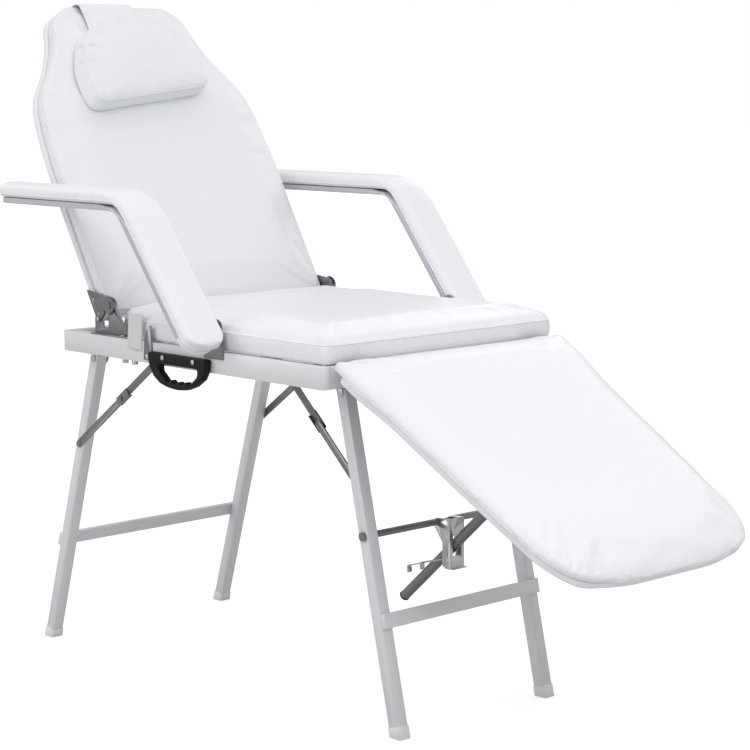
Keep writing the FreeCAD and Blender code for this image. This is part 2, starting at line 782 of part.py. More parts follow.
def braces():
    derive("rivet_bore", s.rivet_dia + 2 * s.pin_gap)
    pitch = s.link_thick + s.running_gap
    derive("sleeve_depth", 2 * s.link_thick + 3 * s.running_gap
           + s.sleeve_wall)
    derive("knee_rivet", 2 * s.link_thick + s.running_gap)
    for name, pivot_x, pivot_z, lean, down, lower, upper, angle, face, out in (
            ("rear", s.rear_pivot_x, s.rear_pivot_z, s.rear_leg_angle,
             s.rear_anchor_dist, s.rear_knee_dist, s.rear_upper_link,
             180 - s.rear_brace_angle, s.rear_leg_outer, 1),
            ("front", s.front_pivot_x, s.front_pivot_z, -s.front_leg_angle,
             s.front_anchor_dist, s.front_lower_link, s.front_upper_link,
             s.front_brace_angle, s.front_leg_outer - s.tube_side, -1)):
        # The rivet on the leg, the knee and the upper hinge lie in one
        # line. The angle turns X, along the link, down to the leg.
        fx, fz = turn(0, -down, lean)
        fx, fz = pivot_x + fx, pivot_z + fz
        dx, dz = turn(1, 0, angle)
        kx, kz = fx - dx * lower, fz - dz * lower
        ux, uz = kx - dx * upper, kz - dz * upper
        derive(name + "_hinge_x", ux)
        derive(name + "_hinge_z", uz)
        derive(name + "_knee_x", kx)
        derive(name + "_knee_z", kz)
        half = s.link_width / 2
        edge = half + s.running_gap
        # The stop lip lies on the edge that the knee folds towards.
        lip = 1 if name == "rear" else -1
        sleeves = []
        lowers = []
        uppers = []
        for side, sign in SIDES:
            low_y = sign * (face + out * (s.running_gap + s.link_thick / 2))
            up_y = low_y + sign * out * pitch
            low = link("%s_low_%s" % (name, side), lower, low_y,
                       "rivet_bore", None)
            head_y = sign * (face + out * (pitch))
            head = stub("%s_low_head_%s" % (name, side), "rivet_head_dia",
                       "rivet_head_thick", Vector(lower, head_y, 0),
                       Vector(0, sign * out, 0))
            piece = fuse("%s_low_link_%s" % (name, side), low, head)
            place_node(piece, kx, kz, angle)
            lowers.append(piece)
            # The upper link carries the knee's rivet.
            top = link("%s_up_%s" % (name, side), upper, up_y,
                       "rivet_bore", None)
            knee = stub("%s_knee_pin_%s" % (name, side), "rivet_dia",
                        "knee_rivet",
                        Vector(upper, low_y - sign * out * s.link_thick / 2,
                               0), Vector(0, sign * out, 0))
            piece = fuse("%s_up_link_%s" % (name, side), top, knee)
            place_node(piece, ux, uz, angle)
            uppers.append(piece)
            # Lock sleeve: a plate over the knee with a lip on one edge
            # and the rivet's head.
            out_y = up_y + sign * out * (s.link_thick / 2 + s.running_gap
                                         + s.sleeve_wall / 2)
            a, b = upper - s.sleeve_above, upper + s.sleeve_below
            wall = plate("%s_wall_%s" % (name, side), [
                (a, lip * (edge + s.sleeve_wall)),
                (a, -lip * half), (b, -lip * half),
                (b, lip * (edge + s.sleeve_wall))], "sleeve_wall", out_y)
            lip_plate = plate("%s_lip_%s" % (name, side), [
                (a, lip * (edge + s.sleeve_wall)), (a, lip * edge),
                (b, lip * edge), (b, lip * (edge + s.sleeve_wall))],
                "sleeve_depth",
                out_y + sign * out * (s.sleeve_wall - s.sleeve_depth) / 2)
            knee_head = stub("%s_knee_head_%s" % (name, side),
                             "rivet_head_dia", "rivet_head_thick",
                             Vector(upper, out_y + sign * out
                                    * s.sleeve_wall / 2, 0),
                             Vector(0, sign * out, 0))
            sleeve = fuse("%s_sleeve_%s" % (name, side), wall, lip_plate,
                          knee_head)
            place_node(sleeve, ux, uz, angle)
            sleeves.append(sleeve)
        node(name + "_brace_lower", *lowers)
        node(name + "_brace_upper", *uppers)
        node(name + "_brace_sleeves", *sleeves)


def brace_anchors():
    """Stand-off studs on the rails, and ears under the seat board."""
    pitch = s.link_thick + s.running_gap
    outer = s.rear_leg_outer + 2 * pitch + s.running_gap
    derive("standoff_length", s.rail_inner - outer)
    derive("anchor_shank", s.link_thick + 2 * s.running_gap)
    pieces = []
    for side, sign in SIDES:
        x, z = s.rear_hinge_x, s.rear_hinge_z
        post = stub("standoff_" + side, "standoff_dia", "standoff_length",
                    Vector(x, sign * outer, z), Vector(0, sign, 0))
        shank = stub("anchor_shank_" + side, "rivet_dia", "anchor_shank",
                     Vector(x, sign * outer, z), Vector(0, -sign, 0))
        pieces.append(fuse("rear_anchor_" + side, post, shank))
        x, z = s.front_hinge_x, s.front_hinge_z
        face = s.front_leg_outer - s.tube_side - 2 * pitch - s.running_gap
        half = s.board_ear_width / 2
        top = s.frame_top - z
        lobe = arc_points(0, 0, s.link_width / 2, 180, 360, 8)
        ear = plate("ear_" + side, [(half, top), (-half, top),
                                    (-half, top - s.bracket_thick)]
                    + lobe + [(half, top - s.bracket_thick)], "bracket_thick",
                    sign * (face - s.bracket_thick / 2))
        foot_plate = plate("ear_foot_" + side,
                           [(half, top), (-half, top),
                            (-half, top - s.bracket_thick),
                            (half, top - s.bracket_thick)],
                           "board_ear_foot",
                           sign * (face - s.board_ear_foot / 2))
        stud = stub("ear_stud_" + side, "rivet_dia", "anchor_shank",
                    Vector(0, sign * face, 0), Vector(0, sign, 0))
        piece = fuse("front_anchor_" + side, ear, foot_plate, stud)
        piece.Placement.Base = Vector(x, 0, z)
        pieces.append(piece)
    node("brace_anchors", *pieces)


# Cross rod, clamp and release lever

def cross_rod():
    derive("rod_length", 2 * s.front_leg_outer)
    x, z = turn(0, -s.cross_rod_dist, -s.front_leg_angle)
    derive("rod_x", s.front_pivot_x + x)
    derive("rod_z", s.front_pivot_z + z)
    bar = rod("rod_bar", "cross_rod_dia", "rod_length",
              Vector(s.rod_x, -s.front_leg_outer, s.rod_z))
    heads = []
    for side, sign in SIDES:
        heads.append(stub("rod_head_" + side, "rod_head_dia",
                          "rod_head_thick",
                          Vector(s.rod_x, sign * s.front_leg_outer, s.rod_z),
                          Vector(0, sign, 0)))
    node("cross_rod", fuse("rod_with_heads", bar, *heads))
    inner = s.front_leg_outer - s.tube_side
    half = s.clamp_width / 2
    derive("rod_sleeve_length", inner - half - 2 * s.running_gap)
    sleeves = []
    for side, sign in SIDES:
        outside = stub("sleeve_out_" + side, "rod_sleeve_dia",
                       "rod_sleeve_length",
                       Vector(s.rod_x, sign * (half + s.running_gap),
                              s.rod_z), Vector(0, sign, 0))
        inside = rod("sleeve_in_" + side, "rod_sleeve_bore",
                     "rod_sleeve_length",
                     Vector(s.rod_x, sign * (half + s.running_gap), s.rod_z),
                     Vector(0, sign, 0))
        sleeves.append(cut("rod_sleeve_" + side, outside, inside))
    node("cross_rod_spacers", *sleeves)


def clamp_side():
    """The clamp's cheek about the rod: an ear, then a flange that
    narrows down to the curled foot."""
    front = s.clamp_ahead
    back = -s.clamp_ear_round
    waist = front - s.clamp_ahead * s.clamp_flange_share
    lobe = arc_points(0, 0, s.clamp_ear_round, 100, 180, 4)
    return ([(front, -s.clamp_below), (front, s.clamp_above)] + lobe
            + [(back, -s.clamp_ear_round), (waist, -s.clamp_slot_drop),
               (waist, -s.clamp_below)])


def strut_clamp():
    derive("clamp_bore", s.cross_rod_dia + 2 * s.pin_gap)
    derive("clamp_inside", s.clamp_width - 2 * s.clamp_wall)
    derive("lever_bore", s.lever_pin_dia + 2 * s.pin_gap)
    pin_x = s.clamp_ahead - s.clamp_wall - s.lever_pin_back
    outside = plate("clamp_outside", clamp_side(), "clamp_width", 0,
                    holes=[(0, 0, "clamp_bore"),
                           (pin_x, -s.lever_drop, "lever_bore")])
    wall = s.clamp_wall
    room = plate("clamp_room", [
        (s.clamp_ahead - wall, -s.clamp_below + wall),
        (s.clamp_ahead - wall, s.clamp_above + s.cut_overrun),
        (-s.clamp_ear_round - s.cut_overrun, s.clamp_above + s.cut_overrun),
        (-s.clamp_ear_round - s.cut_overrun, -s.clamp_below + wall)],
        "clamp_inside", 0)
    channel = cut("clamp_channel", outside, room)
    top = -s.clamp_slot_drop + s.clamp_slot_height / 2
    low = -s.clamp_slot_drop - s.clamp_slot_height / 2
    slot = plate("clamp_slot", [
        (s.clamp_ahead - wall - s.cut_overrun, low),
        (s.clamp_ahead + s.cut_overrun, low),
        (s.clamp_ahead + s.cut_overrun, top),
        (s.clamp_ahead - wall - s.cut_overrun, top)],
        "clamp_slot_width", 0)
    slotted = cut("clamp_slotted", channel, slot)
    curl = plate("clamp_curl", [
        (s.clamp_ahead - s.clamp_foot, -s.clamp_below - wall),
        (s.clamp_ahead + s.clamp_foot / 2, -s.clamp_below - wall),
        (s.clamp_ahead + s.clamp_foot / 2, -s.clamp_below),
        (s.clamp_ahead - s.clamp_foot, -s.clamp_below)], "clamp_width", 0)
    piece = fuse("clamp_body", slotted, curl)
    piece.Placement.Base = Vector(s.rod_x, 0, s.rod_z)
    node("strut_clamp", piece)


def release_lever():
    """A fork inside the clamp on either side of the strut, open to the
    rear, with its own pin and a winged finger tab on each arm."""
    derive("lever_arm", (s.lever_width - s.lever_fork_width) / 2)
    derive("lever_tab_width", s.lever_arm + s.lever_wing)
    thick = s.lever_thick
    reach = s.lever_reach
    parts = [stub("lever_pin", "lever_pin_dia", "clamp_width",
                  Vector(0, -s.clamp_width / 2, thick / 2))]
    for side, sign in SIDES:
        inner = s.lever_fork_width / 2
        parts.append(plate("lever_bar_" + side, [
            (s.lever_start, 0), (s.lever_start, thick), (-reach, thick),
            (-reach, 0)], "lever_arm", sign * (inner + s.lever_arm / 2)))
        parts.append(plate("lever_tab_" + side, [
            (-s.lever_wing_start, 0), (-s.lever_wing_start, thick),
            (-reach, thick), (-reach - thick, -s.lever_tab),
            (-reach, -s.lever_tab), (-reach + thick, 0)],
            "lever_tab_width", sign * (inner + s.lever_tab_width / 2)))
    piece = fuse("lever_forked", *parts)
    turned = turn(0, -thick / 2, -s.lever_angle)
    derive("lever_hinge_x", s.rod_x + s.clamp_ahead - s.clamp_wall
           - s.lever_pin_back)
    derive("lever_hinge_z", s.rod_z - s.lever_drop)
    place_node(piece, s.lever_hinge_x + turned[0],
               s.lever_hinge_z + turned[1], -s.lever_angle)
    node("release_lever", piece)


# Strut under the legrest

def strut():
    derive("strut_hinge_x", s.legrest_hinge_x + turn(
        s.strut_hinge_dist, -s.strut_hinge_drop, s.legrest_angle)[0])
    derive("strut_hinge_z", s.legrest_hinge_z + turn(
        s.strut_hinge_dist, -s.strut_hinge_drop, s.legrest_angle)[1])
    derive("strut_bore", s.strut_dia - 2 * s.strut_wall)
    derive("strut_tube_run", s.strut_length - s.strut_eye_length)
    derive("strut_pin_bore", s.strut_pin_dia + 2 * s.pin_gap)
    away = Vector(-1, 0, 0)
    start = Vector(-s.strut_eye_length, 0, 0)
    outside = rod("strut_outside", "strut_dia", "strut_tube_run", start, away)
    inside = rod("strut_inside", "strut_bore", "strut_tube_run",
                 start - Vector(s.strut_wall, 0, 0), away)
    shell = cut("strut_shell", outside, inside)
    half = s.strut_dia / 2
    eye = plate("strut_eye", [(-s.strut_eye_length - s.strut_wall, -half),
                              (0, -half)]
                + arc_points(0, 0, half, -90, 90, 8)[1:]
                + [(-s.strut_eye_length - s.strut_wall, half)],
                "strut_eye_thick", 0, holes=[(0, 0, "strut_pin_bore")])
    piece = fuse("strut_body", shell, eye)
    place_node(piece, s.strut_hinge_x, s.strut_hinge_z, -s.strut_angle)
    node("strut_tube", piece)
    end = Vector(-s.strut_length, 0, 0)
    plug = stub("plug_cap", "strut_plug_dia", "strut_plug_out", Vector(),
                away, "pin_flats")
    place = FreeCAD.Placement(
        Vector(s.strut_hinge_x, 0, s.strut_hinge_z),
        FreeCAD.Rotation(Vector(0, 1, 0), -s.strut_angle))
    plug.Placement = place.multiply(
        FreeCAD.Placement(end, plug.Placement.Rotation))
    node("strut_end_plug", plug)
    # Bridge on the legrest's board, drawn in the legrest's frame
    derive("bridge_inside", s.bridge_width - 2 * s.bracket_thick)
    derive("bridge_ear_bore", s.strut_pin_dia + 2 * s.pin_gap)
    under = -s.legrest_under - s.pin_gap
    x, z = s.strut_hinge_dist, -s.strut_hinge_drop
    half = s.bridge_length / 2
    lobe = arc_points(x, z, s.bridge_ear_round, 180, 360, 8)
    body = plate("bridge_solid", [
        (x + half, under), (x - half, under),
        (x - half, under - s.bracket_thick)] + lobe
        + [(x + half, under - s.bracket_thick)], "bridge_width", 0,
        holes=[(x, z, "bridge_ear_bore")])
    room = plate("bridge_room", [
        (x + half + s.cut_overrun, under - s.bracket_thick),
        (x - half - s.cut_overrun, under - s.bracket_thick),
        (x - half - s.cut_overrun, z - s.bridge_ear_round - s.cut_overrun),
        (x + half + s.cut_overrun, z - s.bridge_ear_round - s.cut_overrun)],
        "bridge_inside", 0)
    bridge = cut("bridge_body", body, room)
    place_node(bridge, s.legrest_hinge_x, s.legrest_hinge_z, s.legrest_angle)
    node("strut_bracket", bridge)
    derive("strut_pin_length", s.bridge_width + 4 * s.rivet_head_thick)
    # The pin carries two swivel cheeks that lie along the strut's sides.
    parts = [stub("strut_pin_bar", "strut_pin_dia", "strut_pin_length",
                  Vector(0, -s.strut_pin_length / 2, 0), Vector(0, 1, 0),
                  "pin_flats")]
    half = s.swivel_width / 2
    for side, sign in SIDES:
        parts.append(plate("swivel_" + side, [
            (-s.swivel_length, half), (-s.swivel_length, -half)]
            + arc_points(0, 0, half, -90, 90, 6), "swivel_thick",
            sign * (s.strut_dia / 2 + s.soft_gap + s.swivel_thick / 2)))
    pin = fuse("strut_pin_swivel", *parts)
    place_node(pin, s.strut_hinge_x, s.strut_hinge_z, -s.strut_angle)
    node("strut_pin", pin)


# Legrest, drawn with X along its underside from the hinge

def legrest_corners(inset):
    full = s.legrest_length
    half = s.legrest_half
    nose = s.legrest_nose
    shares = ((0.1, 1.0, 0.04), (0.21, 0.955, 0.05), (0.53, 0.925, 0.08),
              (0.84, 0.88, 0.05), (0.945, 0.765, 0.045), (0.988, 0.42, 0.055))
    near = [(-nose + inset, -half + inset, nose / 2)]
    near += [(full * a - inset * (a > 0.98), -half * b + inset, full * c)
             for a, b, c in shares]
    return mirrored(near)


def hinge_pocket(sign):
    """Room in the cushion's nose round one hinge."""
    wide = s.leg_hinge_width + 2 * s.cut_overrun
    ring = s.leg_hinge_tube / 2 + s.cut_overrun
    back = s.legrest_nose + s.cut_overrun
    return Part.makeBox(back + ring, wide, 2 * ring,
                        Vector(-back, sign * s.leg_hinge_spread - wide / 2,
                               -ring))


def legrest():
    full = s.legrest_length + s.legrest_nose
    width = 2 * s.legrest_half
    board_top = -s.legrest_under + s.legrest_board
    edge = s.legrest_edge
    layers = stuffing(board_top + s.running_gap, edge, edge + s.legrest_crown,
                      s.side_draw, s.legrest_spread)
    shape = cushion_shape(legrest_corners(0), layers,
                          lambda x, y, h: Vector(x, y, h))
    # The nose is rounded about the hinge, clear of the seat's front.
    reach = s.legrest_nose
    keep = Part.makeCylinder(reach, width, Vector(0, -width / 2, 0),
                             Vector(0, 1, 0))
    ahead = Part.makeBox(full, width, full, Vector(0, -width / 2, -full / 2))
    shape = shape.common(keep.fuse(ahead))
    for side, sign in SIDES:
        shape = shape.cut(hinge_pocket(sign))
    pad = feature("legrest_skin", shape)
    place_node(pad, s.legrest_hinge_x, s.legrest_hinge_z, s.legrest_angle)
    node("legrest_cushion", pad)
    wire = rounded_wire(legrest_corners(s.board_inset),
                        lambda x, y: Vector(x, y, -s.legrest_under),
                        s.corner_steps)
    panel = Part.Face(wire).extrude(Vector(0, 0, s.legrest_board))
    start = Part.makeBox(full, width, full,
                         Vector(s.leg_hinge_tube, -width / 2, -full / 2))
    board = feature("legrest_panel", panel.common(start))
    place_node(board, s.legrest_hinge_x, s.legrest_hinge_z, s.legrest_angle)
    node("legrest_board", board)


def legrest_hinges():
    """Two strap hinges: knuckles on one pin, leaves to either side."""
    derive("knuckle_bore", s.leg_hinge_pin + 2 * s.pin_gap)
    third = s.leg_hinge_width / 3
    derive("knuckle_length", third - 2 * s.running_gap)
    derive("leaf_span", third - 2 * s.running_gap)
    derive("fixed_leaf_width", s.leg_hinge_width)
    fixed = []
    moving = []
    for side, sign in SIDES:
        middle = sign * s.leg_hinge_spread
        # Fixed leaf: under the front end rail, one knuckle in the middle
        drop = s.frame_clear - s.legrest_hinge_z
        back = s.rail_length - s.rail_width - s.legrest_hinge_x
        face = s.rail_length - s.legrest_hinge_x
        thin = s.leg_hinge_leaf
        ring = s.leg_hinge_tube / 2
        strap = plate("fixed_strap_" + side, [
            (back, drop), (back, drop - thin), (face + thin, drop - thin),
            (face + thin, -ring), (0, -ring), (0, thin - ring),
            (face, thin - ring), (face, drop)], "knuckle_length", middle)
        barrel = stub("fixed_barrel_" + side, "leg_hinge_tube",
                      "knuckle_length",
                      Vector(0, middle - s.knuckle_length / 2, 0))
        pin = stub("hinge_pin_" + side, "leg_hinge_pin", "fixed_leaf_width",
                   Vector(0, middle - s.leg_hinge_width / 2, 0))
        piece = fuse("fixed_leaf_" + side, strap, barrel, pin)
        piece.Placement.Base = Vector(s.legrest_hinge_x, 0, s.legrest_hinge_z)
        fixed.append(piece)
        # Moving leaf under the legrest's board with two knuckles
        for end, shift in (("low", -third), ("high", third)):
            under = -s.legrest_under
            tab = plate("moving_tab_%s_%s" % (side, end), [
                (0, -ring), (s.leg_hinge_tube, under - thin),
                (s.leg_hinge_long, under - thin), (s.leg_hinge_long, under),
                (s.leg_hinge_tube, under), (thin, -ring + thin)],
                "leaf_span", middle + shift)
            tube = stub("moving_barrel_%s_%s" % (side, end),
                        "leg_hinge_tube", "leaf_span",
                        Vector(0, middle + shift - s.leaf_span / 2, 0))
            bore = rod("moving_bore_%s_%s" % (side, end), "knuckle_bore",
                       "leaf_span",
                       Vector(0, middle + shift - s.leaf_span / 2, 0))
            solid = fuse("moving_solid_%s_%s" % (side, end), tab, tube)
            leaf = cut("moving_leaf_%s_%s" % (side, end), solid, bore)
            place_node(leaf, s.legrest_hinge_x, s.legrest_hinge_z,
                       s.legrest_angle)
            moving.append(leaf)
    node("legrest_hinge_base", *fixed)
    node("legrest_hinge_leaves", *moving)


# Backrest, drawn with Z up along it from the hinge pin and X to its front

# How wide the backrest's lower end is, for its half width
FOOT_SHARE = 0.996
derive("backrest_half", (s.arm_inner - s.running_gap) / FOOT_SHARE)
derive("backrest_head_half", s.arm_inner - s.backrest_head_inset)
derive("pillow_high", s.backrest_length - s.pillow_top_drop)
derive("pillow_low", s.pillow_high - s.pillow_length)


def backrest_corners(inset):
    full = s.backrest_length + s.backrest_low
    low = -s.backrest_low
    half = s.backrest_half
    shares = ((0.525, 1.003, 0.09), (0.697, 0.946, 0.06), (0.79, 0.766, 0.045),
              (0.885, 0.648, 0.04), (0.957, 0.608, 0.03))
    near = [(low + inset, -half * FOOT_SHARE + inset, s.tube_side / 2)]
    near += [(low + full * a, -half * b + inset, full * c)
             for a, b, c in shares]
    near.append((low + full - inset, -s.backrest_head_half + inset,
                 s.tube_side * 2 / 3))
    return mirrored(near)


def backrest():
    edge = -s.backrest_edge
    layers = stuffing(-s.backrest_back + s.backrest_board + s.running_gap,
                      edge, s.backrest_front, s.side_draw, s.backrest_spread)
    shape = cushion_shape(backrest_corners(0), layers,
                          lambda x, y, h: Vector(h, y, x))
    pad = feature("backrest_skin", shape)
    place_node(pad, s.hinge_x, s.hinge_z, -s.backrest_angle)
    node("backrest_cushion", pad)
    wire = rounded_wire(backrest_corners(0),
                        lambda x, y: Vector(-s.backrest_back, y, x),
                        s.corner_steps)
    panel = Part.Face(wire).extrude(Vector(s.backrest_board, 0, 0))
    board = feature("backrest_panel", panel)
    place_node(board, s.hinge_x, s.hinge_z, -s.backrest_angle)
    node("backrest_board", board)


def hinge_arms():
    """The plates on the backrest's sides, drawn in its own frame."""
    derive("arm_pin_bore", s.hinge_pin_dia + 2 * s.pin_gap)
    screws = []
    for side, sign in SIDES:
        middle = sign * (s.arm_inner + s.hinge_plate / 2)
        lobe = arc_points(0, 0, s.arm_lobe, 60, -110, 10)
        body = plate("hinge_arm_plate_" + side, [
            (-s.arm_back, s.arm_up)] + lobe
            + [(-s.arm_back, -s.arm_foot)], "hinge_plate", middle,
            holes=[(0, 0, "arm_pin_bore"),
                   (-s.arm_back + s.arm_lobe * 2 / 3, s.arm_foot,
                    "arm_screw_dia"),
                   (-s.arm_back + s.arm_lobe * 2 / 3, s.arm_up * 3 / 5,
                    "arm_screw_dia")])
        place_node(body, s.hinge_x, s.hinge_z, -s.backrest_angle, middle)
        node("hinge_arm_" + side, body)
    derive("arm_screw_fit", s.arm_screw_dia - 2 * s.pin_gap)
    for side, sign in SIDES:
        for level, z in (("low", s.arm_foot), ("high", s.arm_up * 3 / 5)):
            x = -s.arm_back + s.arm_lobe * 2 / 3
            outer = sign * (s.arm_inner + s.hinge_plate + s.pin_gap)
            screw = stub("arm_screw_%s_%s" % (side, level), "arm_screw_fit",
                         "hinge_plate", Vector(x, outer, z),
                         Vector(0, -sign, 0))
            place = FreeCAD.Placement(
                Vector(s.hinge_x, 0, s.hinge_z),
                FreeCAD.Rotation(Vector(0, 1, 0), -s.backrest_angle))
            screw.Placement = place.multiply(screw.Placement)
            screws.append(screw)
    node("hinge_arm_screws", *screws)


def hinge_bases():
    """The leaves that stand on the rails, with a post, a window and the
    lobe round the hinge pin."""
    derive("leaf_pin_bore", s.hinge_pin_dia + 2 * s.pin_gap)
    derive("leaf_flange", s.frame_half - s.arm_inner - s.hinge_plate
           - s.running_gap)
    for side, sign in SIDES:
        inner = s.arm_inner + s.hinge_plate + s.running_gap
        foot_z = -s.hinge_rise
        post_z = foot_z + s.leaf_post_height
        back = -s.leaf_back
        post = back + s.leaf_post_width
        thin = s.leaf_flange_thick
        low = foot_z + s.leaf_window_rise
        left = -s.leaf_window_back
        lobe = arc_points(0, 0, s.leaf_lobe, 170, 40, 8)
        leaf = plate("leaf_" + side, [
            (back, foot_z), (back, post_z - thin), (back + thin, post_z),
            (post - thin, post_z)] + lobe
            + [(s.leaf_front, foot_z + thin), (s.leaf_front, foot_z)],
            "hinge_plate", sign * (inner + s.hinge_plate / 2),
            holes=[(0, 0, "leaf_pin_bore")],
            windows=[[(left, low), (left + s.leaf_window_width, low),
                      (left + s.leaf_window_width,
                       low + s.leaf_window_height),
                      (left, low + s.leaf_window_height)]])
        flange = plate("leaf_foot_" + side, [
            (back, foot_z), (back, foot_z + thin),
            (s.leaf_flange_front, foot_z + thin),
            (s.leaf_flange_front, foot_z)], "leaf_flange",
            sign * (inner + s.leaf_flange / 2))
        piece = fuse("base_" + side, leaf, flange)
        piece.Placement.Base = Vector(s.hinge_x, 0, s.hinge_z)
        node("hinge_base_" + side, piece)


def base_bolts():
    """The bolts' heads on the leaf's foot and the nuts under the rail."""
    middle = s.frame_half - s.base_bolt_head / 2 - s.running_gap
    bolts = []
    for side, sign in SIDES:
        for number, at in (("one", s.base_bolt_one), ("two", s.base_bolt_two)):
            x = s.hinge_x + at
            bolts.append(stub(
                "base_head_%s_%s" % (side, number), "base_bolt_head",
                "base_bolt_head_thick",
                Vector(x, sign * middle, s.frame_top + s.leaf_flange_thick),
                Vector(0, 0, 1)))
            bolts.append(stub(
                "base_nut_%s_%s" % (side, number), "base_nut_dia",
                "base_nut_height",
                Vector(x, sign * (s.frame_half - s.rail_width / 2),
                       s.frame_clear), Vector(0, 0, -1), "nut_flats"))
    node("hinge_base_bolts", *bolts)


def ratchet_outline():
    """Saw teeth round the pin: a steep face and a long ramp each."""
    points = []
    step = 360.0 / s.wheel_teeth
    for i in range(s.wheel_teeth):
        a = math.radians(i * step)
        b = math.radians(i * step + step * 0.12)
        points.append((s.wheel_root * math.cos(a), s.wheel_root * math.sin(a)))
        points.append((s.wheel_radius * math.cos(b),
                       s.wheel_radius * math.sin(b)))
    return points


def ratchets():
    """Toothed wheels fixed on the hinge pins outside the leaves, the
    pins and the sprung pawls."""
    inner = s.arm_inner + s.hinge_plate + s.running_gap
    face = inner + s.hinge_plate + s.running_gap
    derive("hinge_pin_length", face + s.wheel_thick - s.arm_inner)
    derive("pawl_bore", s.pawl_pin_dia + 2 * s.pin_gap)
    derive("pawl_pin_length", s.wheel_thick + 2 * s.running_gap)
    derive("pawl_head_dia", s.pawl_pin_dia * 2)
    pins = []
    for side, sign in SIDES:
        wheel = plate("wheel_" + side, ratchet_outline(), "wheel_thick", 0)
        place_node(wheel, s.hinge_x, s.hinge_z, -s.backrest_angle,
                   sign * (face + s.wheel_thick / 2))
        shank = stub("pin_shank_" + side, "hinge_pin_dia",
                     "hinge_pin_length",
                     Vector(s.hinge_x, sign * s.arm_inner, s.hinge_z),
                     Vector(0, sign, 0), "pin_flats")
        head = stub("pin_head_" + side, "hinge_pin_head", "rivet_head_thick",
                    Vector(s.hinge_x, sign * (face + s.wheel_thick),
                           s.hinge_z), Vector(0, sign, 0))
        node("ratchet_" + side, fuse("hinge_pin_whole_" + side, wheel,
                                     shank, head))
        # Pawl, drawn along X from its own pin towards the wheel
        gap = math.hypot(s.pawl_back, s.pawl_drop)
        aim = math.degrees(math.atan2(s.pawl_drop, s.pawl_back))
        tip = gap - s.wheel_radius - s.pawl_tip_gap
        half = s.pawl_width / 2
        eye = arc_points(0, 0, s.pawl_eye, 40, 320, 10)
        pawl = plate("pawl_bar_" + side, eye + [
            (tip - half, -half), (tip, -half / 2), (tip - half / 2, half)],
            "wheel_thick", 0, holes=[(0, 0, "pawl_bore")])
        place_node(pawl, s.hinge_x - s.pawl_back, s.hinge_z - s.pawl_drop,
                   -aim, sign * (face + s.wheel_thick / 2))
        node("pawl_" + side, pawl)
        start = inner + s.hinge_plate
        stud = stub("pawl_stud_" + side, "pawl_pin_dia", "pawl_pin_length",
                    Vector(s.hinge_x - s.pawl_back, sign * start,
                           s.hinge_z - s.pawl_drop), Vector(0, sign, 0))
        cap = stub("pawl_cap_" + side, "pawl_head_dia", "rivet_head_thick",
                   Vector(s.hinge_x - s.pawl_back,
                          sign * (start + s.pawl_pin_length),
                          s.hinge_z - s.pawl_drop), Vector(0, sign, 0))
        pins.append(fuse("pawl_pin_" + side, stud, cap))
    node("pawl_pins", *pins)


# Pillow and its flap, in the backrest's frame

# How high the pillow's boxed side stands, for its thickness, and how wide
# its top edge is, for its half width
PILLOW_SIDE_SHARE = 0.84
PILLOW_TOP_SHARE = 0.36


def pillow():
    """The pillow lies a little askew and off the middle."""
    low = s.pillow_low
    high = s.pillow_high
    half = s.pillow_half
    run = high - low
    middle = (low + high) / 2
    near = [(low, -half, run * 0.12), (low + run * 0.42, -half, run * 0.16),
            (low + run * 0.83, -half * 0.74, run * 0.14),
            (high, -half * PILLOW_TOP_SHARE, run * 0.14)]
    derive("pillow_top", middle + turn(
        run / 2, half * PILLOW_TOP_SHARE, s.pillow_turn_angle)[0])
    depth = s.pillow_front - s.pillow_back
    layers = stuffing(s.pillow_back, s.pillow_back + depth * PILLOW_SIDE_SHARE,
                      s.pillow_front, s.side_draw, s.pillow_spread)

    def lift(x, y, h):
        along, across = turn(x - middle, y, s.pillow_turn_angle)
        return Vector(h, s.pillow_shift + across, middle + along)

    pad = feature("pillow_skin", cushion_shape(mirrored(near), layers, lift))
    place_node(pad, s.hinge_x, s.hinge_z, -s.backrest_angle)
    node("pillow", pad)


def pillow_flap():
    """The band from the pillow over the top of the backrest."""
    derive("flap_width", 2 * s.flap_half)
    thin = s.flap_thick
    inner_top = s.backrest_length + s.soft_gap
    front = s.backrest_front + s.soft_gap
    brow = -s.backrest_edge
    back = -s.backrest_back - s.soft_gap
    low_front = s.pillow_top + s.soft_gap
    low_back = s.backrest_length - s.flap_back_drop
    shoulder = inner_top - s.backrest_edge - thin
    body = plate("flap_band", [
        (front, low_front), (front, shoulder), (brow, inner_top),
        (back, inner_top),
        (back, low_back), (back - thin, low_back),
        (back - thin, inner_top + thin / 2),
        (back - thin / 2, inner_top + thin),
        (brow + thin / 3, inner_top + thin),
        (front + thin, shoulder + thin / 3), (front + thin, low_front)],
        "flap_width", s.pillow_shift)
    place_node(body, s.hinge_x, s.hinge_z, -s.backrest_angle,
               s.pillow_shift)
    node("pillow_flap", body)


# Armrests. The underside of an arm runs level from the rear end to the
# bend, then slants down to the lower end. A strip of the arm lies between
# two heights over that line.

def arm_line():
    """Rear end, bend and lower end of the underside, and the normals."""
    bend = Vector(s.arm_bend_x, s.frame_top + s.arm_under_rise, 0)
    slant = math.radians(s.arm_slant_angle)
    along = Vector(math.cos(slant), -math.sin(slant), 0)
    normal = Vector(math.sin(slant), math.cos(slant), 0)
    rear = Vector(s.arm_rear_x, bend.y, 0)
    return rear, bend, bend + along * s.arm_slant_length, along, normal


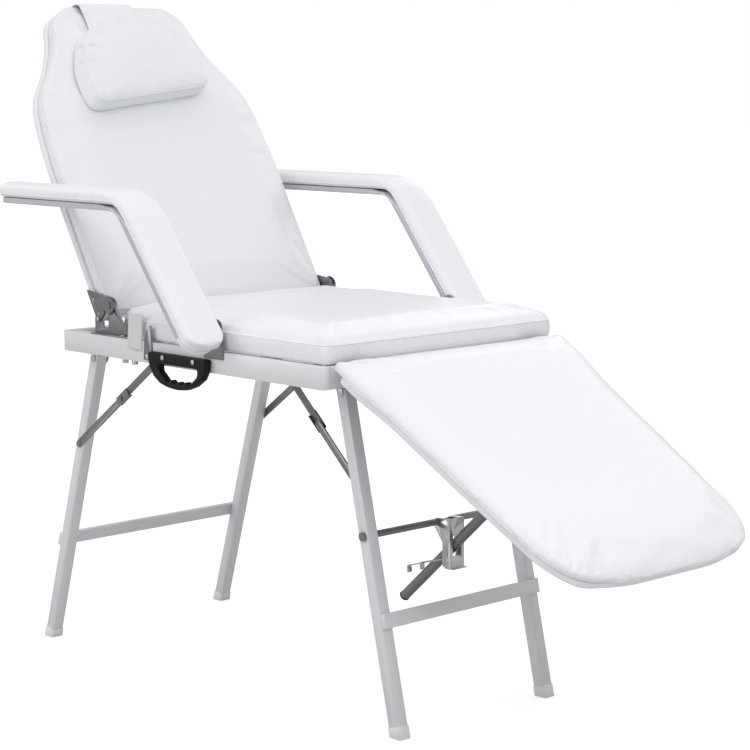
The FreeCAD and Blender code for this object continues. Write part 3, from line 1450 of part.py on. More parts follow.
def arm_strip(low, high, pull):
    """Corners of the strip between two heights, its ends pulled in."""
    rear, bend, end, along, normal = arm_line()
    up = Vector(0, 1, 0)
    mitre = (up + normal) * (1 / (1 + up.dot(normal)))
    short = s.soft_gap * 4
    points = []
    for base, at, run in ((rear + Vector(pull, 0, 0) + up * low, 0, short),
                          (bend + mitre * low, 0, s.arm_bend_run / 3),
                          (end - along * pull + normal * low, 0, short),
                          (end - along * pull + normal * high, 0, short),
                          (bend + mitre * high, 0, s.arm_bend_run),
                          (rear + Vector(pull, 0, 0) + up * high, 0, short)):
        points.append((base.x, base.y + at, run))
    return points


def arm_ends(inner, outer, inset):
    """Two prisms whose rounded ends trim the level and slanted parts."""
    rear, bend, end, along, normal = arm_line()
    width = outer - inner
    tall = s.arm_bend_x
    level = [(rear.x + inset, inner + inset, width / 4),
             (bend.x + width / 2, inner + inset, width / 8),
             (bend.x + width / 2, outer - inset, width / 8),
             (rear.x + inset, outer - inset, width * 0.45)]
    wire = rounded_wire(level, lambda x, y: Vector(x, y, bend.y - tall / 2),
                        s.corner_steps)
    first = Part.Face(wire).extrude(Vector(0, 0, tall))
    run = (end - bend).Length - inset
    slanted = [(-width / 2, inner + inset, width / 8),
               (run, inner + inset, width * 0.42),
               (run, outer - inset, width * 0.42),
               (-width / 2, outer - inset, width / 8)]

    def lift(x, y):
        spot = bend + along * x - normal * (tall / 2)
        return Vector(spot.x, y, spot.y)

    second = Part.Face(rounded_wire(slanted, lift, s.corner_steps)).extrude(
        Vector(normal.x, 0, normal.y) * tall)
    return first.fuse(second)


def armrests():
    inner = s.arm_pad_inner
    outer = inner + s.arm_pad_width
    board_top = s.arm_pad_board
    low = board_top + s.running_gap
    high = s.arm_thickness
    pull = s.soft_gap * 10
    across = ((0, pull, high - pull * 1.6), (0.05, pull / 3, high - pull / 2),
              (0.16, 0, high - pull / 6), (0.5, 0, high + pull / 3),
              (0.84, 0, high - pull / 6), (0.95, pull / 3, high - pull / 2),
              (1, pull, high - pull * 1.6))
    pivot_z = s.frame_top + s.arm_pivot_rise
    derive("arm_stud_dia", s.arm_bolt_dia)
    derive("arm_stud_length", s.arm_pad_width / 3)
    for side, sign in SIDES:
        wires = []
        for share, drawn, top in across:
            y = sign * (inner + s.arm_pad_width * share)
            wires.append(rounded_wire(
                arm_strip(low, top, drawn),
                lambda x, z, at=y: Vector(x, at, z), s.corner_steps))
        shape = Part.makeLoft(wires, True, True)
        ends = arm_ends(inner - s.arm_trim_out, outer + s.arm_trim_out, 0)
        hull = arm_ends(inner, outer, s.soft_gap * 6)
        if sign < 0:
            ends = ends.mirror(Vector(0, 0, 0), Vector(0, 1, 0))
            hull = hull.mirror(Vector(0, 0, 0), Vector(0, 1, 0))
        bore = Part.makeCylinder(
            s.arm_bolt_dia / 2 + s.pin_gap,
            s.arm_stud_length + s.running_gap + s.cut_overrun,
            Vector(s.arm_pivot_x, sign * (inner - s.cut_overrun), pivot_z),
            Vector(0, sign, 0))
        pad = feature("arm_skin_" + side, shape.common(ends).cut(bore))
        node("arm_pad_" + side, pad)
        wire = rounded_wire(arm_strip(0, board_top, s.soft_gap * 6),
                            lambda x, z: Vector(x, sign * inner, z),
                            s.corner_steps)
        strip = Part.Face(wire).extrude(Vector(0, sign * s.arm_pad_width, 0))
        board = feature("arm_panel_" + side,
                        strip.common(hull))
        node("arm_board_" + side, board)


def arm_brackets():
    """Plates on the rails that carry the arms' pivot studs, and the
    fins beside them."""
    pivot_z = s.frame_top + s.arm_pivot_rise
    derive("fin_thick", s.arm_rail_plate - s.soft_gap)
    plates = []
    fins = []
    for side, sign in SIDES:
        half = s.arm_plate_half
        foot = s.handle_top_drop - s.soft_gap * 3
        low = -s.arm_pivot_rise - foot
        face = s.frame_half + s.running_gap
        lobe = arc_points(0, 0, s.arm_bolt_head, 20, 160, 8)
        body = plate("arm_plate_" + side, [
            (-half, low), (half / 2, low), (half / 2, low + foot)] + lobe
            + [(-half, low + foot)],
            "arm_rail_plate", sign * (face + s.arm_rail_plate / 2))
        stud = stub("arm_stud_" + side, "arm_stud_dia", "arm_stud_length",
                    Vector(0, sign * (face + s.arm_rail_plate), 0),
                    Vector(0, sign, 0))
        piece = fuse("arm_bracket_" + side, body, stud)
        piece.Placement.Base = Vector(s.arm_pivot_x, 0, pivot_z)
        plates.append(piece)
        wide = s.fin_width
        rise = s.fin_rise
        fin = plate("fin_plate_" + side, [
            (0, -s.fin_below), (wide, -s.fin_below), (wide, -rise / 4),
            (wide * 0.94, rise), (wide * 0.76, rise), (wide * 0.4, rise * 0.7),
            (wide * 0.12, rise * 0.1)], "fin_thick",
            sign * (face + s.fin_thick / 2))
        fin.Placement.Base = Vector(s.fin_rear_x,
                                    sign * (face + s.fin_thick / 2),
                                    s.frame_top)
        fins.append(fin)
    node("arm_brackets", *plates)
    node("side_fins", *fins)


def carry_handle():
    """A moulded grip under the near rail with a scalloped finger gap."""
    span = s.handle_span
    deep = s.handle_depth
    outer_shares = ((0.0, -0.02), (0.02, 0.0), (0.97, 0.0), (1.0, -0.05),
                    (0.985, -0.36), (0.93, -0.6), (0.8, -0.83), (0.66, -0.96),
                    (0.5, -1.0), (0.34, -0.965), (0.2, -0.87), (0.09, -0.68),
                    (0.025, -0.42), (0.0, -0.2))
    outline = [(span * a, deep * b) for a, b in outer_shares]
    left = s.handle_bar + s.handle_grip * 0.7
    right = span - s.handle_bar - s.soft_gap * 10
    top = -s.handle_bar
    low = s.handle_grip - deep
    window = [(right, top), (left, top), (left + s.soft_gap * 2, low / 2
                                          + top / 2)]
    count = int(s.finger_count)
    run = (right - left) * 0.72 / count
    start = left + (right - left) * 0.14
    for i in range(count):
        middle = start + run * (i + 0.5)
        sag = abs(i + 0.5 - count / 2) / count * s.handle_grip / 2
        window += [(x, z + sag) for x, z in arc_points(
            middle, low + s.soft_gap * 4, run / 2, 205, 335, 4)]
    window.append((right - s.soft_gap * 2, low / 2 + top / 2))
    middle_y = -(s.frame_half + s.running_gap + s.handle_thick / 2)
    body = plate("handle_grip_body", outline, "handle_thick", middle_y,
                 windows=[window])
    body.Placement.Base = Vector(s.handle_rear_x, middle_y,
                                 s.frame_top - s.handle_top_drop)
    node("carry_handle", body)


def rail_screws():
    """The heads of the handle's and the fins' screws."""
    screws = []
    z = s.frame_top - s.handle_top_drop - s.handle_bar * 0.38
    face = s.frame_half + s.running_gap
    for number, x in (("one", s.handle_screw_inset),
                      ("two", s.handle_span - s.handle_bar * 1.7)):
        screws.append(stub(
            "handle_screw_" + number, "screw_head", "screw_head_thick",
            Vector(s.handle_rear_x + x, -(face + s.handle_thick), z),
            Vector(0, -1, 0)))
    for side, sign in SIDES:
        screws.append(stub(
            "fin_screw_" + side, "screw_head", "screw_head_thick",
            Vector(s.fin_rear_x + s.fin_width / 2, sign * (face + s.fin_thick),
                   s.frame_top - s.fin_below + s.screw_head * 0.7),
            Vector(0, sign, 0)))
    node("rail_screws", *screws)


def textile_strap():
    """A loose woven strap end over the near rail's outer face."""
    face = s.frame_half + s.running_gap
    thin = s.strap_thick
    lean = s.strap_thick * 2.5
    section = [(-face - thin, s.frame_top - s.strap_drop),
               (-face - thin, s.frame_top + thin),
               (-face - thin + lean, s.frame_top + s.strap_rise),
               (-face + lean, s.frame_top + s.strap_rise),
               (-face, s.frame_top + thin),
               (-face, s.frame_top - s.strap_drop)]
    body = plate("strap_band", section, "strap_width",
                 0, plane="YZ_Plane")
    body.Placement = FreeCAD.Placement(
        Vector(s.strap_x + s.strap_width / 2, 0, 0), FreeCAD.Rotation())
    node("textile_strap", body)


def finish():
    doc.recompute()
    faults = []
    for item in doc.Objects:
        state = " ".join(item.State)
        if "Invalid" in state or "Error" in state:
            faults.append(item.Name + ": " + state)
    for piece in nodes:
        if piece.Shape.isNull() or not piece.Shape.isValid():
            faults.append(piece.Label + ": shape")
    if faults:
        raise RuntimeError("; ".join(faults))
    box = FreeCAD.BoundBox()
    for piece in nodes:
        box.add(piece.Shape.optimalBoundingBox(False, False))
    shift = Vector(-(box.XMin + box.XMax) / 2, 0, 0)
    os.makedirs("parts", exist_ok=True)
    for piece in nodes:
        moved = piece.Placement
        moved.Base = moved.Base + shift
        piece.Placement = moved
    doc.recompute()
    for piece in nodes:
        piece.Shape.exportStep("parts/%s.step" % piece.Label)
    print("shift", shift.x, "box", box.XMin, box.XMax, box.YMin, box.YMax,
          box.ZMin, box.ZMax)


seat_frame()
seat_board()
seat_pad()
legs()
crossbars()
leg_brackets()
braces()
brace_anchors()
cross_rod()
strut_clamp()
release_lever()
strut()
legrest()
legrest_hinges()
backrest()
hinge_arms()
hinge_bases()
base_bolts()
ratchets()
pillow()
pillow_flap()
armrests()
arm_brackets()
carry_handle()
rail_screws()
textile_strap()
finish()
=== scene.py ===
# %% [markdown]
# # A folding tattoo chair
# This notebook dresses a measured model of a folding salon chair: a white
# tube frame on two pairs of folding legs, a reclining backrest with a head
# pillow, a lowering legrest and two bent armrests. The measured solids come
# in as a fixed frame. Hard pieces keep their shape and get softer edges,
# and everything that is soft is made again here.

# %% The measured frame
import json
import math

import bmesh
import bpy
import numpy as np
from mathutils import Matrix, Vector, noise
from mathutils.bvhtree import BVHTree
from mathutils.kdtree import KDTree

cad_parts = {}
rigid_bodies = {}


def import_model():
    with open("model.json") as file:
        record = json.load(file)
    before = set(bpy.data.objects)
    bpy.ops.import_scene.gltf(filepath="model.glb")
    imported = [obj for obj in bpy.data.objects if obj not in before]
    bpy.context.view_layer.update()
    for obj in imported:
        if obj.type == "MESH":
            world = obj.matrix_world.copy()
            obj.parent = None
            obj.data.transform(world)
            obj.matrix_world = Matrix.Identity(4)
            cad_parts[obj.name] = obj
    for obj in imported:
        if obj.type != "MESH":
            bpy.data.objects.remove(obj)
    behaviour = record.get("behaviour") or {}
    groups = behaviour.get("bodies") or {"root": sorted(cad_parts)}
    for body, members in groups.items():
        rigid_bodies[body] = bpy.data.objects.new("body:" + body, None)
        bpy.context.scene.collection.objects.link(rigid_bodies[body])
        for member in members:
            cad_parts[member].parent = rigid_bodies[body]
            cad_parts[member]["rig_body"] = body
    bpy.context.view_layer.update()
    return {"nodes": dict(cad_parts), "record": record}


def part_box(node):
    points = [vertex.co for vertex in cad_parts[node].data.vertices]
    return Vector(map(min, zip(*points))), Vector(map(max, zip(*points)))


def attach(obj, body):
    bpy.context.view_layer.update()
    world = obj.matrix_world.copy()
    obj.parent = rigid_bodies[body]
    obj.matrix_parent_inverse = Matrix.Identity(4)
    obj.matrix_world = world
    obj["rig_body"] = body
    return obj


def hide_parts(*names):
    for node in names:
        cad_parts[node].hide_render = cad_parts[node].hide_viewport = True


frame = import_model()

MM = 0.001
scene = bpy.context.scene
solids = frame["nodes"]
body_of = {node_name: body
           for body, listed in frame["record"]["behaviour"]["bodies"].items()
           for node_name in listed}

# %% [markdown]
# ## Places on the chair
# The chair was measured in millimetres from the rear end of its rails. A
# few places are needed again here, as metres in the frame of the solids:
# the backrest turns about the hinge pin and leans back 30 degrees, and the
# legrest slopes down from the hinge at the seat's front. Naming them once
# keeps every later number readable as a distance from a real place.

# %% Places on the chair
RAIL_REAR = -496.9533 * MM
FRAME_TOP = 620.5 * MM
BACK_HINGE = Vector((RAIL_REAR + 130 * MM, 0, 675 * MM))
BACK_LEAN = math.radians(30)
LEG_HINGE = Vector((RAIL_REAR + 742 * MM, 0, 616 * MM))
LEG_SLOPE = math.radians(30.7)
BACK_NORMAL = np.array((math.cos(BACK_LEAN), 0, math.sin(BACK_LEAN)))
LEG_NORMAL = np.array((math.sin(LEG_SLOPE), 0, math.cos(LEG_SLOPE)))


def back_point(forward, across, up):
    """A point of the backrest: forward from its face, up along it."""
    c, s = math.cos(BACK_LEAN), math.sin(BACK_LEAN)
    return BACK_HINGE + Vector((forward * c - up * s, across,
                                up * c + forward * s))


print("hinges", tuple(BACK_HINGE), tuple(LEG_HINGE))

# %% [markdown]
# ## Camera
# The photograph was taken from the foot end on the near side, a little
# above the seat. The lens and the place were fitted to the rails, the legs
# and the floor line, so the picture's frame is the photograph's. The
# camera's axes are built from three angles, which is easier to check
# against a fit than an object that tracks a target.

# %% Camera
FOCAL_PIXELS = 2182.44
PICTURE_PIXELS = 750
SENSOR_WIDTH = 36
FAR_CLIP = 60
YAW, PITCH, ROLL = 0.819737, 0.141096, -0.003879
EYE = Vector((RAIL_REAR + 3.3126981, -2.5840995, 1.1014152))

toward_eye = Vector((math.sin(YAW) * math.cos(PITCH),
                     -math.cos(YAW) * math.cos(PITCH), math.sin(PITCH)))
level = Vector((math.cos(YAW), math.sin(YAW), 0))
upward = toward_eye.cross(level)
right = level * math.cos(ROLL) + upward * math.sin(ROLL)
upward = upward * math.cos(ROLL) - level * math.sin(ROLL)
lens = bpy.data.cameras.new("photo_lens")
lens.sensor_width = SENSOR_WIDTH
lens.lens = SENSOR_WIDTH * FOCAL_PIXELS / PICTURE_PIXELS
lens.clip_end = FAR_CLIP
camera = bpy.data.objects.new("photo_camera", lens)
scene.collection.objects.link(camera)
camera.matrix_world = Matrix((
    (right.x, upward.x, toward_eye.x, EYE.x),
    (right.y, upward.y, toward_eye.y, EYE.y),
    (right.z, upward.z, toward_eye.z, EYE.z), (0, 0, 0, 1)))
scene.camera = camera
print("lens", round(lens.lens, 2), "mm")

# %% [markdown]
# ## Sky
# White things on white need soft, uneven light: an even sky makes them
# flat. This sky is bright overhead and dim at the horizon, so tops are
# lighter than sides. The backdrop itself has to look plain white, so a
# Light Path node gives rays that reach the lens directly a full white, and
# all light that falls on the chair comes from the fade.

# %% Sky
HORIZON_GLOW, ZENITH_GLOW, BACKDROP_GLOW = 0.54, 1.02, 1.0
scene.view_settings.view_transform = "Standard"
sky = bpy.data.worlds.new("studio_sky")
scene.world = sky
sky.use_nodes = True
air = sky.node_tree.nodes
facing = air.new("ShaderNodeTexCoord")
axes = air.new("ShaderNodeSeparateXYZ")
rise = air.new("ShaderNodeMapRange")
rise.inputs["To Min"].default_value = HORIZON_GLOW
rise.inputs["To Max"].default_value = ZENITH_GLOW
ray = air.new("ShaderNodeLightPath")
shown = air.new("ShaderNodeMix")
shown.inputs[3].default_value = BACKDROP_GLOW
for source, target in (
        (facing.outputs["Generated"], axes.inputs[0]),
        (axes.outputs["Z"], rise.inputs["Value"]),
        (ray.outputs["Is Camera Ray"], shown.inputs[0]),
        (rise.outputs[0], shown.inputs[2]),
        (shown.outputs[0], air["Background"].inputs["Strength"])):
    sky.node_tree.links.new(source, target)
air["Background"].inputs["Color"].default_value = (1, 1, 1, 1)
print("sky from", HORIZON_GLOW, "to", ZENITH_GLOW)

# %% [markdown]
# ## Lamps and floor
# Three wide lamps stand for soft boxes: one above the foot end lifts the
# tops, and two weaker ones fill the near side and the back. Wide lamps give
# the long, soft reflections that show vinyl is a little glossy. The floor
# is one large face.

# %% Lamps and floor
FLOOR_REACH = 30


def softbox(name, at, target, wide, tall, watts):
    lamp = bpy.data.lights.new(name, "AREA")
    lamp.shape = "RECTANGLE"
    lamp.size, lamp.size_y, lamp.energy = wide, tall, watts
    holder = bpy.data.objects.new(name, lamp)
    scene.collection.objects.link(holder)
    holder.location = at
    look = Vector(target) - Vector(at)
    holder.rotation_euler = look.to_track_quat("-Z", "Y").to_euler()


softbox("key_lamp", (3.0, -1.2, 3.2), (0, 0, 0.7), 2.0, 1.6, 36)
softbox("fill_lamp", (-1.4, -3.4, 1.5), (0, 0, 0.6), 1.8, 1.6, 20)
softbox("rim_lamp", (-1.2, 3.2, 2.2), (0, 0, 0.7), 2.4, 1.4, 8)

ground = bpy.data.meshes.new("studio_floor")
ground.from_pydata([(x * FLOOR_REACH, y * FLOOR_REACH, 0)
                    for x, y in ((-1, -1), (1, -1), (1, 1), (-1, 1))],
                   [], [(0, 1, 2, 3)])
floor = bpy.data.objects.new("studio_floor", ground)
scene.collection.objects.link(floor)

# %% [markdown]
# ## Writing materials as sums
# A shader tree is easier to read as arithmetic than as a list of nodes and
# links. `Socket` wraps one output and turns `a * 2 + b` into Math nodes,
# and `Finish.add` makes any other node from its type, its settings and its
# inputs. `Finish.set` feeds the Principled shader, with plain numbers put
# on its own sockets.

# %% Shader arithmetic


class Socket:
    """One output of a shader tree that can be added and multiplied."""

    def __init__(self, finish, socket):
        self.finish, self.socket = finish, socket

    def math(self, operation, *others):
        return self.finish.add("ShaderNodeMath", {"operation": operation},
                               [self, *others])

    def __add__(self, other):
        return self.math("ADD", other)

    def __mul__(self, other):
        return self.math("MULTIPLY", other)

    __radd__, __rmul__ = __add__, __mul__

    def between(self, low, high):
        """0 below low, 1 above high, and straight between them."""
        return self.finish.add("ShaderNodeMapRange", {},
                               {"Value": self, "From Min": low,
                                "From Max": high})


class Finish:
    """A material: one Principled shader and what feeds it."""

    def __init__(self, name):
        self.material = bpy.data.materials.new(name)
        self.material.use_nodes = True
        self.tree = self.material.node_tree
        self.shader = self.tree.nodes["Principled BSDF"]
        self.place = self.add("ShaderNodeTexCoord", {}, {}, "Object")

    def add(self, kind, settings, inputs, output=0):
        node = self.tree.nodes.new(kind)
        for key, value in settings.items():
            setattr(node, key, value)
        pairs = (inputs.items() if isinstance(inputs, dict)
                 else enumerate(inputs))
        for key, value in pairs:
            self.feed(node.inputs[key], value)
        return Socket(self, node.outputs[output])

    def feed(self, socket, value):
        if isinstance(value, Socket):
            self.tree.links.new(value.socket, socket)
        elif isinstance(value, tuple) and socket.type == "RGBA":
            socket.default_value = (*value, 1)
        else:
            socket.default_value = value

    def noise(self, scale, detail, rough, place=None):
        return self.add("ShaderNodeTexNoise", {}, {
            "Vector": place or self.place, "Scale": scale, "Detail": detail,
            "Roughness": rough}, "Fac")

    def cells(self, scale, feature="F1"):
        return self.add("ShaderNodeTexVoronoi", {"feature": feature}, {
            "Vector": self.place, "Scale": scale}, "Distance")

    def stretched(self, scale):
        return self.add("ShaderNodeMapping", {}, {
            "Vector": self.place, "Scale": scale})

    def tint(self, amount, low, high):
        return self.add("ShaderNodeMix", {"data_type": "RGBA"}, {
            0: amount, 6: low, 7: high}, 2)

    def relief(self, height, strength, depth, under=None):
        values = {"Height": height, "Strength": strength, "Distance": depth}
        if under:
            values["Normal"] = under
        return self.add("ShaderNodeBump", {}, values, "Normal")

    def attribute(self, name):
        return self.add("ShaderNodeAttribute", {"attribute_name": name}, {},
                        "Fac")

    def set(self, **values):
        for key, value in values.items():
            self.feed(self.shader.inputs[key.replace("_", " ")], value)
        return self.material


def times(colour, share):
    return tuple(c * share for c in colour)


print("shader tools ready")

# %% [markdown]
# ## White vinyl
# The covers are white upholstery vinyl: smooth, a little glossy, with a
# fine pebble grain, and small gathers where a panel is sewn to the next.
# A picture of vinyl would need unwrapping, so the grain is made of soft
# cells in space. Each soft piece carries two painted values: how near a
# point is to a seam, and how far along the seam it lies, so the gathers run
# square to it. Near a seam the colour is darker along the gathers, as
# painted shade in the folds, and broad patches vary its tone at random.

# %% White vinyl
PEBBLES_PER_METRE = 1150
GATHERS_PER_METRE = 95


def vinyl(name, white):
    f = Finish(name)
    near, along = f.attribute("near_seam"), f.attribute("along_seam")
    grain = f.cells(PEBBLES_PER_METRE, "SMOOTH_F1")
    broad = f.noise(7, 3, 0.55)
    fold = f.add("ShaderNodeTexNoise", {"noise_dimensions": "1D"}, {
        "W": along, "Scale": GATHERS_PER_METRE, "Detail": 2.5,
        "Roughness": 0.6}, "Fac")
    soft = f.relief(broad, 0.1, 12 * MM)
    gathered = f.relief(fold * near, 0.45, 3.5 * MM, soft)
    # painted shade: darker in the folds near a seam, plus a broad random tone
    fold_shade_and_tone = near * fold * 0.55 + broad * 0.25
    return f.set(Base_Color=f.tint(fold_shade_and_tone, white, times(white, 0.9)),
                 Roughness=grain * 0.08 + broad * 0.08 + 0.23,
                 Normal=f.relief(grain, 0.16, 0.4 * MM, gathered),
                 Coat_Weight=near * 0.05 + 0.04, Coat_Roughness=0.4,
                 Specular_IOR_Level=0.42)


white_vinyl = vinyl("white_vinyl", (0.862, 0.876, 0.905))
print("made", white_vinyl.name)

# %% [markdown]
# ## Painted tube and bare steel
# The frame is square tube under white powder paint, which has a faint
# orange peel. The braces, hinge plates and strut are zinc-plated steel: a
# dull grey metal with fine drawn lines, smeared by handling. Screws and the
# strut's clamp are brighter. Both metals share one recipe, since only their
# colour and roughness differ.

# %% Painted tube and bare steel
DRAWN_LINES = (30, 30, 900)


def powder_paint(name, colour):
    f = Finish(name)
    peel, cloud = f.noise(620, 2, 0.5), f.noise(9, 2, 0.5)
    return f.set(Base_Color=f.tint(cloud, colour, times(colour, 0.95)),
                 Roughness=cloud * 0.12 + 0.24,
                 Normal=f.relief(peel, 0.12, 0.5 * MM))


def steel(name, colour, rough):
    f = Finish(name)
    drawn = f.noise(1.0, 3, 0.6, f.stretched(DRAWN_LINES))
    smear = f.noise(24, 4, 0.6)
    spots = f.noise(210, 2, 0.5).between(0.62, 0.75)
    return f.set(Base_Color=f.tint(smear * 0.6 + spots * 0.3, colour,
                                   times(colour, 0.66)),
                 Roughness=smear * 0.2 + drawn * 0.12 + rough,
                 Normal=f.relief(drawn, 0.12, 0.4 * MM), Metallic=1.0)


white_paint = powder_paint("white_powder_paint", (0.77, 0.77, 0.8))
zinc_steel = steel("zinc_plated_steel", (0.29, 0.295, 0.31), 0.2)
bright_steel = steel("bright_steel", (0.66, 0.67, 0.69), 0.1)
print("made", white_paint.name, zinc_steel.name, bright_steel.name)

# %% [markdown]
# ## Plastic, dust cover and webbing
# The carry handle is black moulded plastic with a spark-eroded texture, and
# the feet are pale grey caps. Under each board a thin bonded-fibre cloth is
# stapled. The loose strap end is a plain weave, so its relief comes from
# two sets of sine waves that cross, which needs no picture.

# %% Plastic, dust cover and webbing
FIBRES = (140, 700, 140)
WEAVE = 3600


def moulded(name, colour, rough, shine):
    f = Finish(name)
    eroded, rubbed = f.noise(900, 3, 0.7), f.noise(30, 3, 0.5)
    return f.set(Base_Color=f.tint(rubbed * 0.6, colour, times(colour, 1.5)),
                 Roughness=rubbed * 0.2 + rough,
                 Normal=f.relief(eroded, 0.25, 0.5 * MM),
                 Specular_IOR_Level=shine)


def fibre_cloth(name, colour):
    f = Finish(name)
    fibres = f.noise(1.0, 4, 0.7, f.stretched(FIBRES))
    dots = f.cells(260)
    return f.set(Base_Color=f.tint(fibres, colour, times(colour, 0.78)),
                 Roughness=fibres * 0.1 + 0.85,
                 Normal=f.relief(dots + fibres, 0.5, 0.6 * MM))


def webbing(name, colour):
    f = Finish(name)
    across = f.add("ShaderNodeSeparateXYZ", {}, {"Vector": f.place}, "X")
    down = Socket(f, across.socket.node.outputs["Z"])
    warp, weft = (across * WEAVE).math("SINE"), (down * WEAVE).math("SINE")
    weave = (warp * weft) * 0.5 + 0.5
    worn = f.noise(60, 3, 0.6)
    return f.set(Base_Color=f.tint(weave * 0.7 + worn * 0.3, colour,
                                   times(colour, 0.72)),
                 Roughness=worn * 0.1 + 0.82,
                 Normal=f.relief(weave, 0.7, 0.6 * MM))


black_plastic = moulded("black_moulded_plastic", (0.004, 0.004, 0.005),
                        0.42, 0.25)
pale_plastic = moulded("pale_foot_plastic", (0.7, 0.705, 0.71), 0.45, 0.5)
# The grey of this cloth also stands as painted shade on the arm boards' level
# run.
dust_cover_and_shade = fibre_cloth("dust_cover_and_shade_cloth", (0.6, 0.6, 0.62))
strap_weave = webbing("strap_webbing", (0.9, 0.9, 0.9))
print("made", black_plastic.name, dust_cover_and_shade.name, strap_weave.name)

# %% [markdown]
# ## Floor paint
# The floor is matt grey where light bounces off it, so that it doesn't
# flood the chair from below. Like the sky it glows a little where the lens
# sees it directly, and the two meet as one white backdrop with soft
# shadows.

# %% Floor paint
FLOOR_GREY, FLOOR_GLOW = (0.6, 0.6, 0.6), (0.62, 0.62, 0.62)
paint = Finish("studio_floor_paint")
seen = paint.add("ShaderNodeLightPath", {}, {}, "Is Camera Ray")
floor.data.materials.append(paint.set(
    Base_Color=FLOOR_GREY, Emission_Strength=1.0, Roughness=0.9,
    Emission_Color=paint.tint(seen, (0, 0, 0), FLOOR_GLOW),
    Specular_IOR_Level=0.0))
print("floor painted")

# %% [markdown]
# ## Copies of the solids
# A solid arrives as loose triangles. Before it can be bevelled or wrapped
# in a cover, a copy is merged into whole flat faces. Modifiers then do the
# shaping, and their result is baked into a plain mesh, because a finished
# piece carries no live modifier.

# %% Copies of the solids
MERGE_DISTANCE = 2e-6
FLAT_ANGLE = math.radians(0.6)


def new_piece(name, mesh, material, body):
    piece = bpy.data.objects.new(name, mesh)
    scene.collection.objects.link(piece)
    piece.data.materials.clear()
    piece.data.materials.append(material)
    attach(piece, body)
    return piece


def merged_copy(node_name):
    """A clean mesh of a solid, with flat faces made whole again."""
    shell = bmesh.new()
    shell.from_mesh(solids[node_name].data)
    bmesh.ops.remove_doubles(shell, verts=shell.verts, dist=MERGE_DISTANCE)
    bmesh.ops.dissolve_limit(shell, angle_limit=FLAT_ANGLE,
                             verts=shell.verts, edges=shell.edges)
    mesh = bpy.data.meshes.new(node_name)
    shell.to_mesh(mesh)
    shell.free()
    return mesh


def baked(piece):
    """Turn a piece's modifiers into its mesh."""
    graph = bpy.context.evaluated_depsgraph_get()
    mesh = bpy.data.meshes.new_from_object(piece.evaluated_get(graph))
    piece.modifiers.clear()
    piece.data = mesh
    return piece


def shaded_smooth(piece):
    for face in piece.data.polygons:
        face.use_smooth = True
    return piece


def even_skin(node_name, name, material, voxel, rounds=6):
    """A new piece with an even mesh over one solid, eased all over."""
    piece = new_piece(name, merged_copy(node_name), material,
                      body_of[node_name])
    grid = piece.modifiers.new("even", "REMESH")
    grid.mode, grid.voxel_size = "VOXEL", voxel
    ease = piece.modifiers.new("ease", "SMOOTH")
    ease.factor, ease.iterations = 0.5, rounds
    return baked(piece)


print("copying tools ready")

# %% [markdown]
# ## Softened edges
# Bent sheet and welded tube have small radii that catch the light, which a
# plain solid lacks. A Bevel modifier rounds the sharp edges of a merged
# copy by a millimetre or so, as real geometry. The copy then stands for the
# solid.

# %% Softened edges
SHARP_ANGLE = math.radians(38)


def softened(node_name, material, width, sides=3):
    piece = new_piece(node_name + "_part", merged_copy(node_name), material,
                      body_of[node_name])
    edge = piece.modifiers.new("edge", "BEVEL")
    edge.width, edge.segments = width, sides
    edge.limit_method, edge.angle_limit = "ANGLE", SHARP_ANGLE
    edge.harden_normals = True
    shaded_smooth(baked(piece))
    piece.data.set_sharp_from_angle(angle=SHARP_ANGLE)
    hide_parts(node_name)
    return piece


for slot, material, width, sides, names in (
        ("white_steel", white_paint, 1.3 * MM, 3, (
            "frame_rail_near", "frame_rail_far", "frame_cross_rear",
            "frame_cross_front", "rear_leg_near", "rear_leg_far",
            "front_leg_near", "front_leg_far", "rear_crossbar",
            "front_crossbar")),
        ("grey_plastic", pale_plastic, 1.0 * MM, 3, (
            "rear_feet", "front_feet")),
        ("zinc_steel", zinc_steel, 0.5 * MM, 2, (
            "hinge_arm_near", "hinge_arm_far", "hinge_base_near",
            "hinge_base_far", "side_fins", "strut_bracket",
            "rear_brace_upper", "rear_brace_lower", "front_brace_upper",
            "front_brace_lower", "leg_brackets_rear",
            "leg_brackets_front")),
        ("bright_steel", bright_steel, 0.4 * MM, 2, ("strut_clamp",)),
        ("zinc_steel", bright_steel, 0.4 * MM, 2, ("release_lever",))):
    for node_name in names:
        softened(node_name, material, width, sides)

# %% [markdown]
# ## Carry handle
# The handle is one moulding with finger grips, all of its edges round. A
# bevel fails on so many small curved faces, so the solid is remeshed with
# even voxels and eased instead.

# %% Carry handle
handle = shaded_smooth(even_skin("carry_handle", "carry_handle_part",
                                 black_plastic, 1.4 * MM, 30))
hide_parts("carry_handle")
print("handle faces", len(handle.data.polygons))

# %% [markdown]
# ## Bolts, screws and pins
# Turned heads have a rounder edge than sheet. The other small pieces, such
# as the ratchet wheels, the pawls and the strut, have the right shape
# already: they stay as measured and only get their finish.

# %% Bolts, screws and pins
for node_name in ("hinge_base_bolts", "rail_screws", "leg_pivot_pins",
                  "hinge_arm_screws", "pawl_pins"):
    softened(node_name, bright_steel, 0.7 * MM)

for material, names in (
        (zinc_steel, ("cross_rod", "cross_rod_spacers", "brace_anchors",
                      "arm_brackets", "legrest_hinge_base",
                      "legrest_hinge_leaves", "strut_tube", "ratchet_near",
                      "ratchet_far", "pawl_near", "pawl_far",
                      "rear_brace_sleeves", "front_brace_sleeves")),
        (bright_steel, ("strut_pin",)),
        (black_plastic, ("strut_end_plug",))):
    for node_name in names:
        solid = solids[node_name]
        if not solid.material_slots:
            solid.data.materials.append(material)
        for held in solid.material_slots:
            held.material = material
print("finished solids in place")

# %% [markdown]
# ## Stuffing a pad
# A cushion is foam pulled into a sewn cover. Sculpting one by hand would
# not repeat, so each pad starts as an even skin over its solid, drawn in a
# little, and cloth blows it up from inside while the base and the seam
# lines are held. Each panel then crowns between its seams, as foam does.
# How far a point may move is capped, so no pad outgrows its solid.

